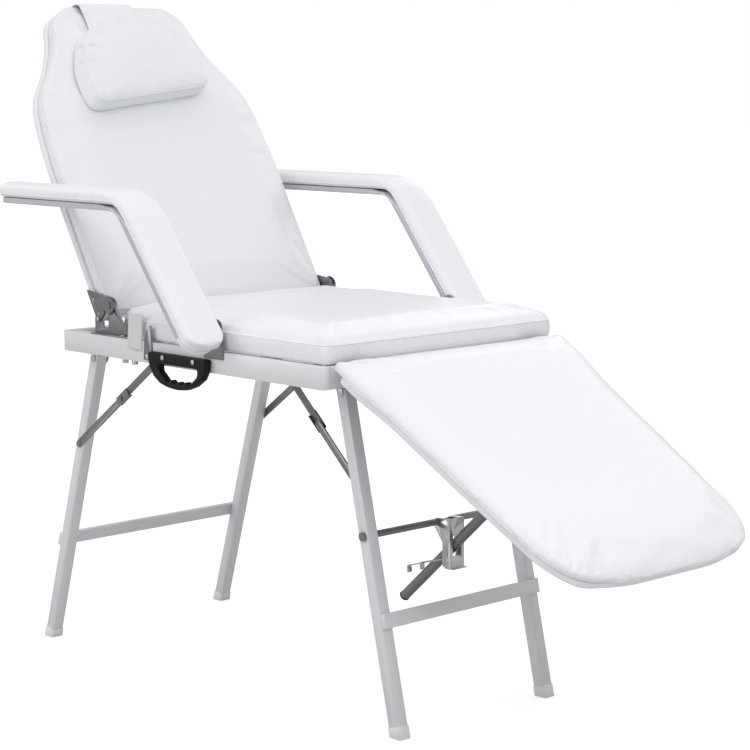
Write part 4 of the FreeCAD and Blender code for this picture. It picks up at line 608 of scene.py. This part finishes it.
# %% Stuffing a pad
STUFFING_FRAMES = 20
COVER_MASS = 0.25
COVER_STRETCH, COVER_SHEAR, COVER_BENDING = 14, 6, 1.5


def points_of(mesh):
    flat = np.empty(len(mesh.vertices) * 3)
    mesh.vertices.foreach_get("co", flat)
    return flat.reshape(-1, 3)


def set_points(mesh, points):
    mesh.vertices.foreach_set("co", points.astype(np.float32).ravel())
    mesh.update()


def normals_of(mesh):
    return np.array([v.normal[:] for v in mesh.vertices])


def blown_up(piece, held, pressure, cap, slack):
    """Swell the cover with cloth while the held points stay."""
    before = points_of(piece.data)
    group = piece.vertex_groups.new(name="held")
    group.add([int(i) for i in np.nonzero(held)[0]], 1.0, "REPLACE")
    cloth = piece.modifiers.new("stuffing", "CLOTH")
    sewn = cloth.settings
    sewn.quality, sewn.mass = 4, COVER_MASS
    sewn.tension_stiffness = sewn.compression_stiffness = COVER_STRETCH
    sewn.shear_stiffness, sewn.bending_stiffness = COVER_SHEAR, COVER_BENDING
    sewn.use_pressure = True
    sewn.uniform_pressure_force = pressure
    sewn.shrink_min = -slack
    sewn.vertex_group_mass = "held"
    sewn.effector_weights.gravity = 0
    cloth.collision_settings.use_collision = False
    cloth.point_cache.frame_start = 1
    cloth.point_cache.frame_end = STUFFING_FRAMES
    for step in range(1, STUFFING_FRAMES + 1):
        scene.frame_set(step)
    graph = bpy.context.evaluated_depsgraph_get()
    swollen = bpy.data.meshes.new_from_object(piece.evaluated_get(graph))
    move = points_of(swollen) - before
    piece.modifiers.clear()
    piece.vertex_groups.clear()
    scene.frame_set(1)
    bpy.data.meshes.remove(swollen)
    far = np.linalg.norm(move, axis=1)
    share = np.minimum(1, cap / np.maximum(far, 1e-9))
    set_points(piece.data, before + move * share[:, None])
    print(piece.name, len(before), "points, moved at most",
          round(float(far.max()) / MM, 1), "mm")


print("stuffing tools ready")

# %% [markdown]
# ## Finding a seam
# A seam is the line where the top panel meets the side band. On the flat
# pads it is where a plane cuts the finished cover, so it always lies on the
# real surface. The cut's edges are followed into one closed loop and
# resampled at even steps, with its corners eased.

# %% Finding a seam


def evened(points, spacing, closed=True, rounds=3):
    """Resample a path at an even spacing and ease its corners."""
    ring = np.vstack([points, points[:1]]) if closed else points
    run = np.concatenate([[0], np.cumsum(
        np.linalg.norm(np.diff(ring, axis=0), axis=1))])
    count = max(8, int(run[-1] / spacing))
    want = np.linspace(0, run[-1], count, endpoint=not closed)
    path = np.stack([np.interp(want, run, ring[:, k]) for k in range(3)], 1)
    for _ in range(rounds):
        if closed:
            path = (np.roll(path, 1, 0) + path * 2 + np.roll(path, -1, 0)) / 4
        else:
            path[1:-1] = (path[:-2] + path[1:-1] * 2 + path[2:]) / 4
    return path


def cut_loop(piece, at, normal, spacing=6 * MM):
    """The longest closed loop where a plane cuts the piece."""
    slab = bmesh.new()
    slab.from_mesh(piece.data)
    cut = bmesh.ops.bisect_plane(
        slab, geom=slab.verts[:] + slab.edges[:] + slab.faces[:],
        plane_co=at, plane_no=normal)
    links = {}
    for edge in cut["geom_cut"]:
        if isinstance(edge, bmesh.types.BMEdge):
            a, b = edge.verts
            links.setdefault(a, []).append(b)
            links.setdefault(b, []).append(a)
    best, visited = [], set()
    for start in links:
        if start in visited:
            continue
        loop, here = [start], start
        visited.add(start)
        while True:
            onward = [v for v in links[here] if v not in visited]
            if not onward:
                break
            here = onward[0]
            visited.add(here)
            loop.append(here)
        if len(loop) > len(best):
            best = loop
    points = np.array([v.co[:] for v in best])
    slab.free()
    return evened(points, spacing)


print("seam finder ready")

# %% [markdown]
# ## Gathers along a seam
# Thread pulls the cover in, so fine folds run square to every seam and fade
# away from it. Each point of a cover learns how near its seam is and where
# along it, as two attributes: the vinyl reads them for painted shade in the
# folds and for relief, and the same values push the mesh in and out, so the
# folds also show in the plain mesh. Broad, slight swells break up what is
# left flat.

# %% Gathers along a seam
SWELL_DEPTH, SWELLS_PER_METRE = 0.4 * MM, 11
FOLDS_PER_METRE = (160, 520)
FOLD_WAVES = 7
CALM_PER_METRE = 9


def snapped(path, piece, lift=0.0):
    """Lay a path on the surface of a piece."""
    tree = BVHTree.FromObject(piece, bpy.context.evaluated_depsgraph_get())
    laid = []
    for p in path:
        spot, normal, _, _ = tree.find_nearest(Vector(p))
        laid.append(spot + normal * lift)
    return np.array(laid)


def know_seams(piece, paths, reach):
    """Paint how near each point is to a seam and where along it."""
    tree = KDTree(sum(len(p) for p in paths))
    places = []
    for path in paths:
        run = np.concatenate([[0], np.cumsum(
            np.linalg.norm(np.diff(path, axis=0), axis=1))])
        for p, r in zip(path, run):
            tree.insert(Vector(p), len(places))
            places.append(r)
    tree.balance()
    mesh = piece.data
    near = np.empty(len(mesh.vertices), dtype=np.float32)
    along = np.empty(len(mesh.vertices), dtype=np.float32)
    for i, vertex in enumerate(mesh.vertices):
        _, index, distance = tree.find(vertex.co)
        near[i] = math.exp(-(distance / reach) ** 2)
        along[i] = places[index]
    for name, values in (("near_seam", near), ("along_seam", along)):
        painted = mesh.attributes.new(name, "FLOAT", "POINT")
        painted.data.foreach_set("value", values)
    return near, along


def pucker(piece, near, along, depth, seed):
    """Fine gathers square to the seam, as real folds in the cover."""
    rng = np.random.default_rng(seed)
    waves = sum(np.sin(along * f + p) for f, p in zip(
        rng.uniform(*FOLDS_PER_METRE, FOLD_WAVES),
        rng.uniform(0, 6.28, FOLD_WAVES))) / FOLD_WAVES
    calm = np.sin(along * CALM_PER_METRE + seed) * 0.5 + 0.5
    ring = near * (1 - near) * 4
    push = waves * ring * depth * (0.35 + calm)
    set_points(piece.data, points_of(piece.data)
               + normals_of(piece.data) * push[:, None])


def uneven(piece):
    """Broad, slight hollows and swells, as stuffing leaves them."""
    moved = [v.co + v.normal * SWELL_DEPTH
             * noise.noise(v.co * SWELLS_PER_METRE)
             for v in piece.data.vertices]
    set_points(piece.data, np.array([p[:] for p in moved]))


print("gathering tools ready")

# %% [markdown]
# ## Welt and stitches by Geometry Nodes
# A welt follows its seam for metres, and stitches repeat every few
# millimetres. Placing them by hand is out of the question, so two small
# node trees do it from a line of points. In one a round profile is swept
# along the line. In the other a short thread is set on every resampled
# point and turned along the line. Sizes are named inputs, so staples and
# frayed threads come from the same two trees.

# %% Welt and stitches by Geometry Nodes
THREAD_SIDES, WELT_SIDES = 6, 8


def node_tree(name, inputs):
    """An empty tree with its named inputs, and its two end nodes."""
    tree = bpy.data.node_groups.new(name, "GeometryNodeTree")
    tree.interface.new_socket("Geometry", in_out="INPUT",
                              socket_type="NodeSocketGeometry")
    for label, value in inputs.items():
        socket = tree.interface.new_socket(label, in_out="INPUT",
                                           socket_type="NodeSocketFloat")
        socket.default_value = value
    tree.interface.new_socket("Material", in_out="INPUT",
                              socket_type="NodeSocketMaterial")
    tree.interface.new_socket("Geometry", in_out="OUTPUT",
                              socket_type="NodeSocketGeometry")
    return (tree, tree.nodes.new("NodeGroupInput"),
            tree.nodes.new("NodeGroupOutput"))


def wire(tree, *joins):
    for source, output, target, entry in joins:
        tree.links.new(source.outputs[output], target.inputs[entry])


welt_tree, g_in, g_out = node_tree("welt_along_seam", {"Radius": 1.2 * MM})
line = welt_tree.nodes.new("GeometryNodeMeshToCurve")
ring = welt_tree.nodes.new("GeometryNodeCurvePrimitiveCircle")
ring.inputs["Resolution"].default_value = WELT_SIDES
sweep = welt_tree.nodes.new("GeometryNodeCurveToMesh")
smooth = welt_tree.nodes.new("GeometryNodeSetShadeSmooth")
colour = welt_tree.nodes.new("GeometryNodeSetMaterial")
wire(welt_tree, (g_in, "Geometry", line, "Mesh"),
     (g_in, "Radius", ring, "Radius"), (line, "Curve", sweep, "Curve"),
     (ring, "Curve", sweep, "Profile Curve"),
     (sweep, "Mesh", smooth, "Geometry"),
     (smooth, "Geometry", colour, "Geometry"),
     (g_in, "Material", colour, "Material"),
     (colour, "Geometry", g_out, "Geometry"))

stitch_tree, g_in, g_out = node_tree("stitches_along_seam", {
    "Spacing": 4.5 * MM, "Length": 3 * MM, "Thread": 0.35 * MM})
line = stitch_tree.nodes.new("GeometryNodeMeshToCurve")
spaced = stitch_tree.nodes.new("GeometryNodeResampleCurve")
spaced.mode = "LENGTH"
thread = stitch_tree.nodes.new("GeometryNodeMeshCylinder")
thread.inputs["Vertices"].default_value = THREAD_SIDES
tangent = stitch_tree.nodes.new("GeometryNodeInputTangent")
aim = stitch_tree.nodes.new("FunctionNodeAlignRotationToVector")
aim.axis = "Z"
put = stitch_tree.nodes.new("GeometryNodeInstanceOnPoints")
real = stitch_tree.nodes.new("GeometryNodeRealizeInstances")
colour = stitch_tree.nodes.new("GeometryNodeSetMaterial")
wire(stitch_tree, (g_in, "Geometry", line, "Mesh"),
     (line, "Curve", spaced, "Curve"), (g_in, "Spacing", spaced, "Length"),
     (g_in, "Thread", thread, "Radius"), (g_in, "Length", thread, "Depth"),
     (spaced, "Curve", put, "Points"), (thread, "Mesh", put, "Instance"),
     (tangent, "Tangent", aim, "Vector"),
     (aim, "Rotation", put, "Rotation"),
     (put, "Instances", real, "Geometry"),
     (real, "Geometry", colour, "Geometry"),
     (g_in, "Material", colour, "Material"),
     (colour, "Geometry", g_out, "Geometry"))
print("trees", welt_tree.name, stitch_tree.name)

# %% [markdown]
# ## Running a tree along paths
# A path is a mesh of points and edges with no faces. The modifier's inputs
# are set by each socket's identifier before the piece is first evaluated,
# and the result is baked, with its faces turned outwards.

# %% Running a tree along paths


def outward(mesh):
    shell = bmesh.new()
    shell.from_mesh(mesh)
    bmesh.ops.recalc_face_normals(shell, faces=shell.faces)
    shell.to_mesh(mesh)
    shell.free()


def along_path(name, tree, paths, closed, values, material, body):
    verts, edges = [], []
    for path in paths:
        base = len(verts)
        verts += [tuple(p) for p in path]
        edges += [(base + i, base + i + 1) for i in range(len(path) - 1)]
        if closed:
            edges.append((base + len(path) - 1, base))
    mesh = bpy.data.meshes.new(name)
    mesh.from_pydata(verts, edges, [])
    piece = bpy.data.objects.new(name, mesh)
    scene.collection.objects.link(piece)
    run = piece.modifiers.new("along", "NODES")
    run.node_group = tree
    names = {item.name: item.identifier for item in tree.interface.items_tree
             if item.in_out == "INPUT"}
    for label, value in dict(values, Material=material).items():
        run[names[label]] = value
    outward(baked(piece).data)
    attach(piece, body)
    return piece


print("path runner ready")

# %% [markdown]
# ## Covering a pad
# Every cushion goes through the same steps: slim it a little where it is
# free, swell it, refine it, lay gathers along its seam, then sew a welt and
# a row of stitches beside it. Only sizes differ from pad to pad, so two
# functions hold the steps.

# %% Covering a pad
STITCH_ROW = 3.5 * MM
WELT_RADIUS = 1.3 * MM
SEAM_HELD = 3.2 * MM
BASE_FADE = 12 * MM


def cover(piece, node_name, height, base, seam, pressure, cap, slack, slim):
    """Slim, swell and refine one pad; height maps points to heights."""
    mesh = piece.data
    tall = height(points_of(mesh))
    held = (tall < base) | (np.abs(tall - seam) < SEAM_HELD)
    free = np.clip((tall - base) / BASE_FADE, 0, 1)
    set_points(mesh, points_of(mesh) - normals_of(mesh) * slim
               * free[:, None])
    blown_up(piece, held, pressure, cap, slack)
    finer = piece.modifiers.new("finer", "SUBSURF")
    finer.levels = finer.render_levels = 1
    shaded_smooth(baked(piece))
    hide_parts(node_name)


def sew(piece, path, name, seed, beside, depth=0.7 * MM, reach=16 * MM):
    """Gathers, a welt and a row of stitches along one seam."""
    uneven(piece)
    near, along = know_seams(piece, [path], reach)
    pucker(piece, near, along, depth, seed)
    body = piece["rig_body"]
    along_path(name + "_welt", welt_tree, [snapped(path, piece, 0.2 * MM)],
               True, {"Radius": WELT_RADIUS}, white_vinyl, body)
    row = snapped(path + np.array(beside), piece, 0.1 * MM)
    along_path(name + "_stitches", stitch_tree, [row], True, {},
               white_vinyl, body)
    print(name, "seam", len(path), "points")


print("pad tools ready")

# %% [markdown]
# ## Seat cushion
# A boxed cushion about 47 mm thick at its edge, crowned in the middle. Its
# base and the board's recess rest on the frame, so they are held; the seam
# runs round it two thirds of the way up.

# %% Seat cushion
PAD_VOXEL = 6 * MM
SEAT_SEAM = FRAME_TOP + 33 * MM


def seat_height(points):
    return points[:, 2]


seat = even_skin("seat_cushion", "seat_pad", white_vinyl, PAD_VOXEL)
cover(seat, "seat_cushion", seat_height, base=FRAME_TOP + 6 * MM,
      seam=SEAT_SEAM, pressure=2.5, cap=5 * MM, slack=0.0015,
      slim=1.5 * MM)
seat_loop = cut_loop(seat, (0, 0, SEAT_SEAM), (0, 0, 1))
sew(seat, seat_loop, "seat", 3, (0, 0, -STITCH_ROW), depth=1.1 * MM,
    reach=20 * MM)

# %% [markdown]
# ## Legrest cushion
# A long flat pad that narrows to a rounded end. Its seam lies low, just
# above the board, so the top rolls over its whole side in one soft curve.
# Heights are measured square to its slope.

# %% Legrest cushion
LEG_SEAM = -0.5 * MM


def leg_height(points):
    q = points - np.array(LEG_HINGE)
    return q[:, 2] * math.cos(LEG_SLOPE) + q[:, 0] * math.sin(LEG_SLOPE)


leg = even_skin("legrest_cushion", "legrest_pad", white_vinyl, PAD_VOXEL)
cover(leg, "legrest_cushion", leg_height, base=-3.2 * MM, seam=LEG_SEAM,
      pressure=1.2, cap=4 * MM, slack=0.0, slim=1 * MM)
leg_foot = LEG_HINGE + Vector(LEG_NORMAL) * LEG_SEAM
leg_loop = cut_loop(leg, tuple(leg_foot), LEG_NORMAL)
sew(leg, leg_loop, "legrest", 5, LEG_NORMAL * STITCH_ROW)

# %% [markdown]
# ## Backrest cushion
# The same kind of pad, standing: its height is measured forward from the
# board, and its seam frames the front panel close to the edge.

# %% Backrest cushion
BACK_SEAM = -16 * MM
BACK_ROW = BACK_NORMAL * -STITCH_ROW


def back_height(points):
    q = points - np.array(BACK_HINGE)
    return q[:, 0] * math.cos(BACK_LEAN) + q[:, 2] * math.sin(BACK_LEAN)


back = even_skin("backrest_cushion", "backrest_pad", white_vinyl, PAD_VOXEL)
cover(back, "backrest_cushion", back_height, base=-37 * MM, seam=BACK_SEAM,
      pressure=1.4, cap=4 * MM, slack=0.0, slim=1 * MM)
back_loop = cut_loop(back, tuple(back_point(BACK_SEAM, 0, 0)), BACK_NORMAL)
sew(back, back_loop, "backrest", 7, BACK_ROW)

# %% [markdown]
# ## Head pillow
# A fuller, boxed pad that lies a little askew on the backrest's face. Its
# seam runs round the front panel, and more slack in the cover gives deeper
# gathers. A finer skin keeps its tight corners.

# %% Head pillow
FINE_VOXEL = 4.5 * MM
PILLOW_SEAM = 45 * MM
pillow = even_skin("pillow", "head_pillow", white_vinyl, FINE_VOXEL)
cover(pillow, "pillow", back_height, base=6 * MM, seam=PILLOW_SEAM,
      pressure=2.5, cap=6 * MM, slack=0.0015, slim=1 * MM)
pillow_loop = cut_loop(pillow, tuple(back_point(PILLOW_SEAM, 0, 0)),
                       BACK_NORMAL)
sew(pillow, pillow_loop, "pillow", 11, BACK_ROW, depth=1.3 * MM)

# %% [markdown]
# ## Pillow flap
# A band of doubled vinyl is sewn to the pillow and hangs over the top of
# the backrest, holding the pillow by its weight. It always hangs the same
# way, so instead of a simulation it is a grid along its own bent line, with
# a slight ripple, and then thickened. Its line is given as distances
# forward from the backrest's face and up along it.

# %% Pillow flap
FLAP_HALF, FLAP_MIDDLE = 64 * MM, -34 * MM
FLAP_LINE = [(5.6, 556), (5.2, 575), (3.4, 606), (0.6, 625), (-7, 632.6),
             (-20, 634.8), (-38, 635.2), (-50, 634.6), (-55.6, 629.5),
             (-56, 620), (-55.6, 596), (-55.8, 566), (-56, 540)]
FLAP_COLUMNS = 30
FLAP_RIPPLE = 0.6 * MM
FLAP_WAIST = 0.02
FLAP_EDGE = 0.965


def grid_faces(rows, columns):
    """Faces between the points of a grid that is filled row by row."""
    step = columns + 1
    return [(a, a + 1, a + step + 1, a + step)
            for i in range(rows - 1)
            for a in range(i * step, i * step + columns)]


rows = evened(np.array([(a * MM, 0, b * MM) for a, b in FLAP_LINE]), 5 * MM,
              closed=False, rounds=2)
verts = []
for i, (forward, _, up) in enumerate(rows):
    waist = 1 - FLAP_WAIST * math.sin(math.pi * i / (len(rows) - 1))
    for j in range(FLAP_COLUMNS + 1):
        share = j / FLAP_COLUMNS * 2 - 1
        ripple = (FLAP_RIPPLE * math.sin(i * 0.55 + share * 7)
                  * math.cos(share * 5))
        across = FLAP_MIDDLE + share * FLAP_HALF * waist
        verts.append(tuple(back_point(forward, across, up + ripple * 0.6)))
flap_mesh = bpy.data.meshes.new("pillow_band")
flap_mesh.from_pydata(verts, [], grid_faces(len(rows), FLAP_COLUMNS))
flap = new_piece("pillow_band", flap_mesh, white_vinyl, "headrest")
double = flap.modifiers.new("double", "SOLIDIFY")
double.thickness, double.offset = 2.6 * MM, 1.0
finer = flap.modifiers.new("finer", "SUBSURF")
finer.levels = finer.render_levels = 1
outward(baked(flap).data)
shaded_smooth(flap)
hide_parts("pillow_flap")
know_seams(flap, [np.array([tuple(back_point(
    forward, FLAP_MIDDLE + side * FLAP_HALF * FLAP_EDGE, up))
    for forward, _, up in rows]) for side in (-1, 1)], 8 * MM)

# %% [markdown]
# ## Arm pads
# Each arm is a bent pad over a bent board: level behind, then slanting
# down to its pivot. No plane follows the bend, so the seam's path is laid
# out from the arm's own line and then snapped to the cover.

# %% Arm pads
ARM_BEND = Vector((RAIL_REAR + 276 * MM, 0, FRAME_TOP + 234.5 * MM))
ARM_REAR = Vector((RAIL_REAR - 93 * MM, 0, ARM_BEND.z))
ARM_SLANT = math.radians(51.6)
ARM_ALONG = Vector((math.cos(ARM_SLANT), 0, -math.sin(ARM_SLANT)))
ARM_NORMAL = Vector((math.sin(ARM_SLANT), 0, math.cos(ARM_SLANT)))
ARM_END = ARM_BEND + ARM_ALONG * 302 * MM
ARM_INNER, ARM_WIDE = 279.8 * MM, 81 * MM
ARM_BASE, ARM_SEAM = 13.2 * MM, 17 * MM


def arm_height(points):
    """Height over the arm's underside, which has two straight runs."""
    level_run = points[:, 2] - ARM_BEND.z
    slanted = (points - np.array(ARM_BEND)) @ np.array(ARM_NORMAL)
    return np.minimum(level_run, slanted)


def arm_loop(above, sign):
    """A closed line round the arm at one height over its underside."""
    mitre = (Vector((0, 0, 1)) + ARM_NORMAL) / (1 + ARM_NORMAL.z)
    stops = [ARM_REAR + Vector((0, 0, above)), ARM_BEND + mitre * above,
             ARM_END + ARM_NORMAL * above]
    line = evened(np.array([s[:] for s in stops]), 6 * MM, closed=False,
                  rounds=8)
    inner, outer = line.copy(), line[::-1].copy()
    inner[:, 1] = sign * ARM_INNER
    outer[:, 1] = sign * (ARM_INNER + ARM_WIDE)
    return np.vstack([inner, outer])


for side, sign in (("near", -1), ("far", 1)):
    pad = even_skin("arm_pad_" + side, "arm_cover_" + side, white_vinyl,
                    FINE_VOXEL, 8)
    cover(pad, "arm_pad_" + side, arm_height, base=ARM_BASE, seam=ARM_SEAM,
          pressure=2.0, cap=4 * MM, slack=0.001, slim=1 * MM)
    loop = evened(snapped(arm_loop(ARM_SEAM, sign), pad), 5 * MM, rounds=4)
    sew(pad, loop, "arm_" + side, 13 + sign, (0, 0, STITCH_ROW),
        reach=11 * MM)

# %% [markdown]
# ## Boards
# The boards are wrapped: vinyl is drawn over their sides and stapled
# underneath, where bonded-fibre cloth covers the wood. Two finishes share
# one mesh, told apart by which way a face looks, so no picture has to mark
# the border. On the arm boards the grey cloth also covers every face of the
# level rear run, whose side shows below the pad: there it is painted shade.
# The stitch tree with a wider spacing and a thicker thread gives the
# staples, just inside the edge.

# %% Boards
STAPLES = {"Spacing": 38 * MM, "Length": 11 * MM, "Thread": 0.5 * MM}
STAPLE_INSET = 11 * MM
UNDERSIDE = 0.9


def wrapped(board, takes_cloth):
    """Give the faces that takes_cloth picks the fibre cloth."""
    board.data.materials.append(dust_cover_and_shade)
    for face in board.data.polygons:
        if takes_cloth(face):
            face.material_index = 1
    return board


def stapled(board, name, out):
    """Staples round the underside of a board, just inside its edge."""
    foot = out * ((points_of(board.data) @ out).max() - 4 * MM)
    path = cut_loop(board, tuple(foot), tuple(out))
    along = np.roll(path, -1, 0) - np.roll(path, 1, 0)
    inward = np.cross(along, out)
    inward /= np.linalg.norm(inward, axis=1)[:, None]
    if ((path.mean(0) - path) * inward).sum() < 0:
        inward = -inward
    laid = path + inward * STAPLE_INSET + out * 4.1 * MM
    along_path(name + "_staples", stitch_tree, [laid], True, STAPLES,
               bright_steel, board["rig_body"])


DOWN = np.array((0.0, 0.0, -1.0))
for name, out in (("seat", DOWN), ("legrest", -LEG_NORMAL),
                  ("backrest", -BACK_NORMAL)):
    board = softened(name + "_board", white_vinyl, 2.5 * MM)
    stapled(wrapped(board, lambda face: face.normal.dot(Vector(out))
                    > UNDERSIDE), name, out)


# Faces that look down take the cloth as on the other boards; every face of the
# level rear run takes it as painted shade.
def arm_underside_and_shade_faces(face):
    looks = max(face.normal.dot(-ARM_NORMAL), -face.normal.z)
    return looks > UNDERSIDE or face.center.x < ARM_BEND.x - 12 * MM


for side in ("near", "far"):
    wrapped(softened("arm_board_" + side, white_vinyl, 2 * MM),
            arm_underside_and_shade_faces)
print("boards wrapped")

# %% [markdown]
# ## Strap end
# A short end of webbing hangs over the near rail, cut on the slant. It is
# a thin woven sheet that curls a little where it leaves the cushion, made
# as the flap was. Its cut end frays: the welt tree with a hair's radius
# turns a few bent lines into loose threads.

# %% Strap end
STRAP_COLUMNS = 14
STRAP_SKIN = 0.9 * MM
STRAP_MARGIN, STRAP_SHARE = 0.04, 0.92
FRAY_COUNT, FRAY_RADIUS = 16, 0.22 * MM
strap_low, strap_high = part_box("textile_strap")
strap_wide = strap_high.x - strap_low.x
strap_line = [(strap_high.z, 3.2 * MM), (strap_high.z - 14 * MM, 2.0 * MM),
              (FRAME_TOP + 12 * MM, 0.6 * MM), (FRAME_TOP - 2 * MM, 0.0),
              (strap_low.z, 0.2 * MM)]
rows = evened(np.array([(0, inward, z) for z, inward in strap_line]), 4 * MM,
              closed=False, rounds=3)
verts = []
for i, (_, inward, z) in enumerate(rows):
    fall = i / (len(rows) - 1)
    for j in range(STRAP_COLUMNS + 1):
        share = j / STRAP_COLUMNS
        curl = 0.7 * MM * math.sin(share * 6 + fall * 4)
        slant = fall ** 2 * 7 * MM * (share - 0.5)
        verts.append((strap_low.x + strap_wide
                      * (STRAP_MARGIN + STRAP_SHARE * share),
                      strap_low.y + STRAP_SKIN + inward + abs(curl),
                      min(max(z - slant, strap_low.z), strap_high.z)))
strap_mesh = bpy.data.meshes.new("strap_end")
strap_mesh.from_pydata(verts, [], grid_faces(len(rows), STRAP_COLUMNS))
strap = new_piece("strap_end", strap_mesh, strap_weave, "frame")
weave_wall = strap.modifiers.new("cloth", "SOLIDIFY")
weave_wall.thickness, weave_wall.offset = 1.3 * MM, 0.0
shaded_smooth(baked(strap))
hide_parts("textile_strap")

rng = np.random.default_rng(41)
frays = []
for x in np.linspace(strap_low.x + 2 * MM, strap_high.x - 2 * MM,
                     FRAY_COUNT):
    hang = rng.uniform(1.5, 4.0) * MM
    sway, out = rng.uniform(-1.2, 1.2, 2) * MM
    frays.append([(x + sway * k * k, strap_low.y + STRAP_SKIN + out * k * k,
                   strap_low.z + 1 * MM - hang * k)
                  for k in (0, 0.35, 0.7, 1)])
along_path("strap_threads", welt_tree, frays, False,
           {"Radius": FRAY_RADIUS}, strap_weave, "frame")
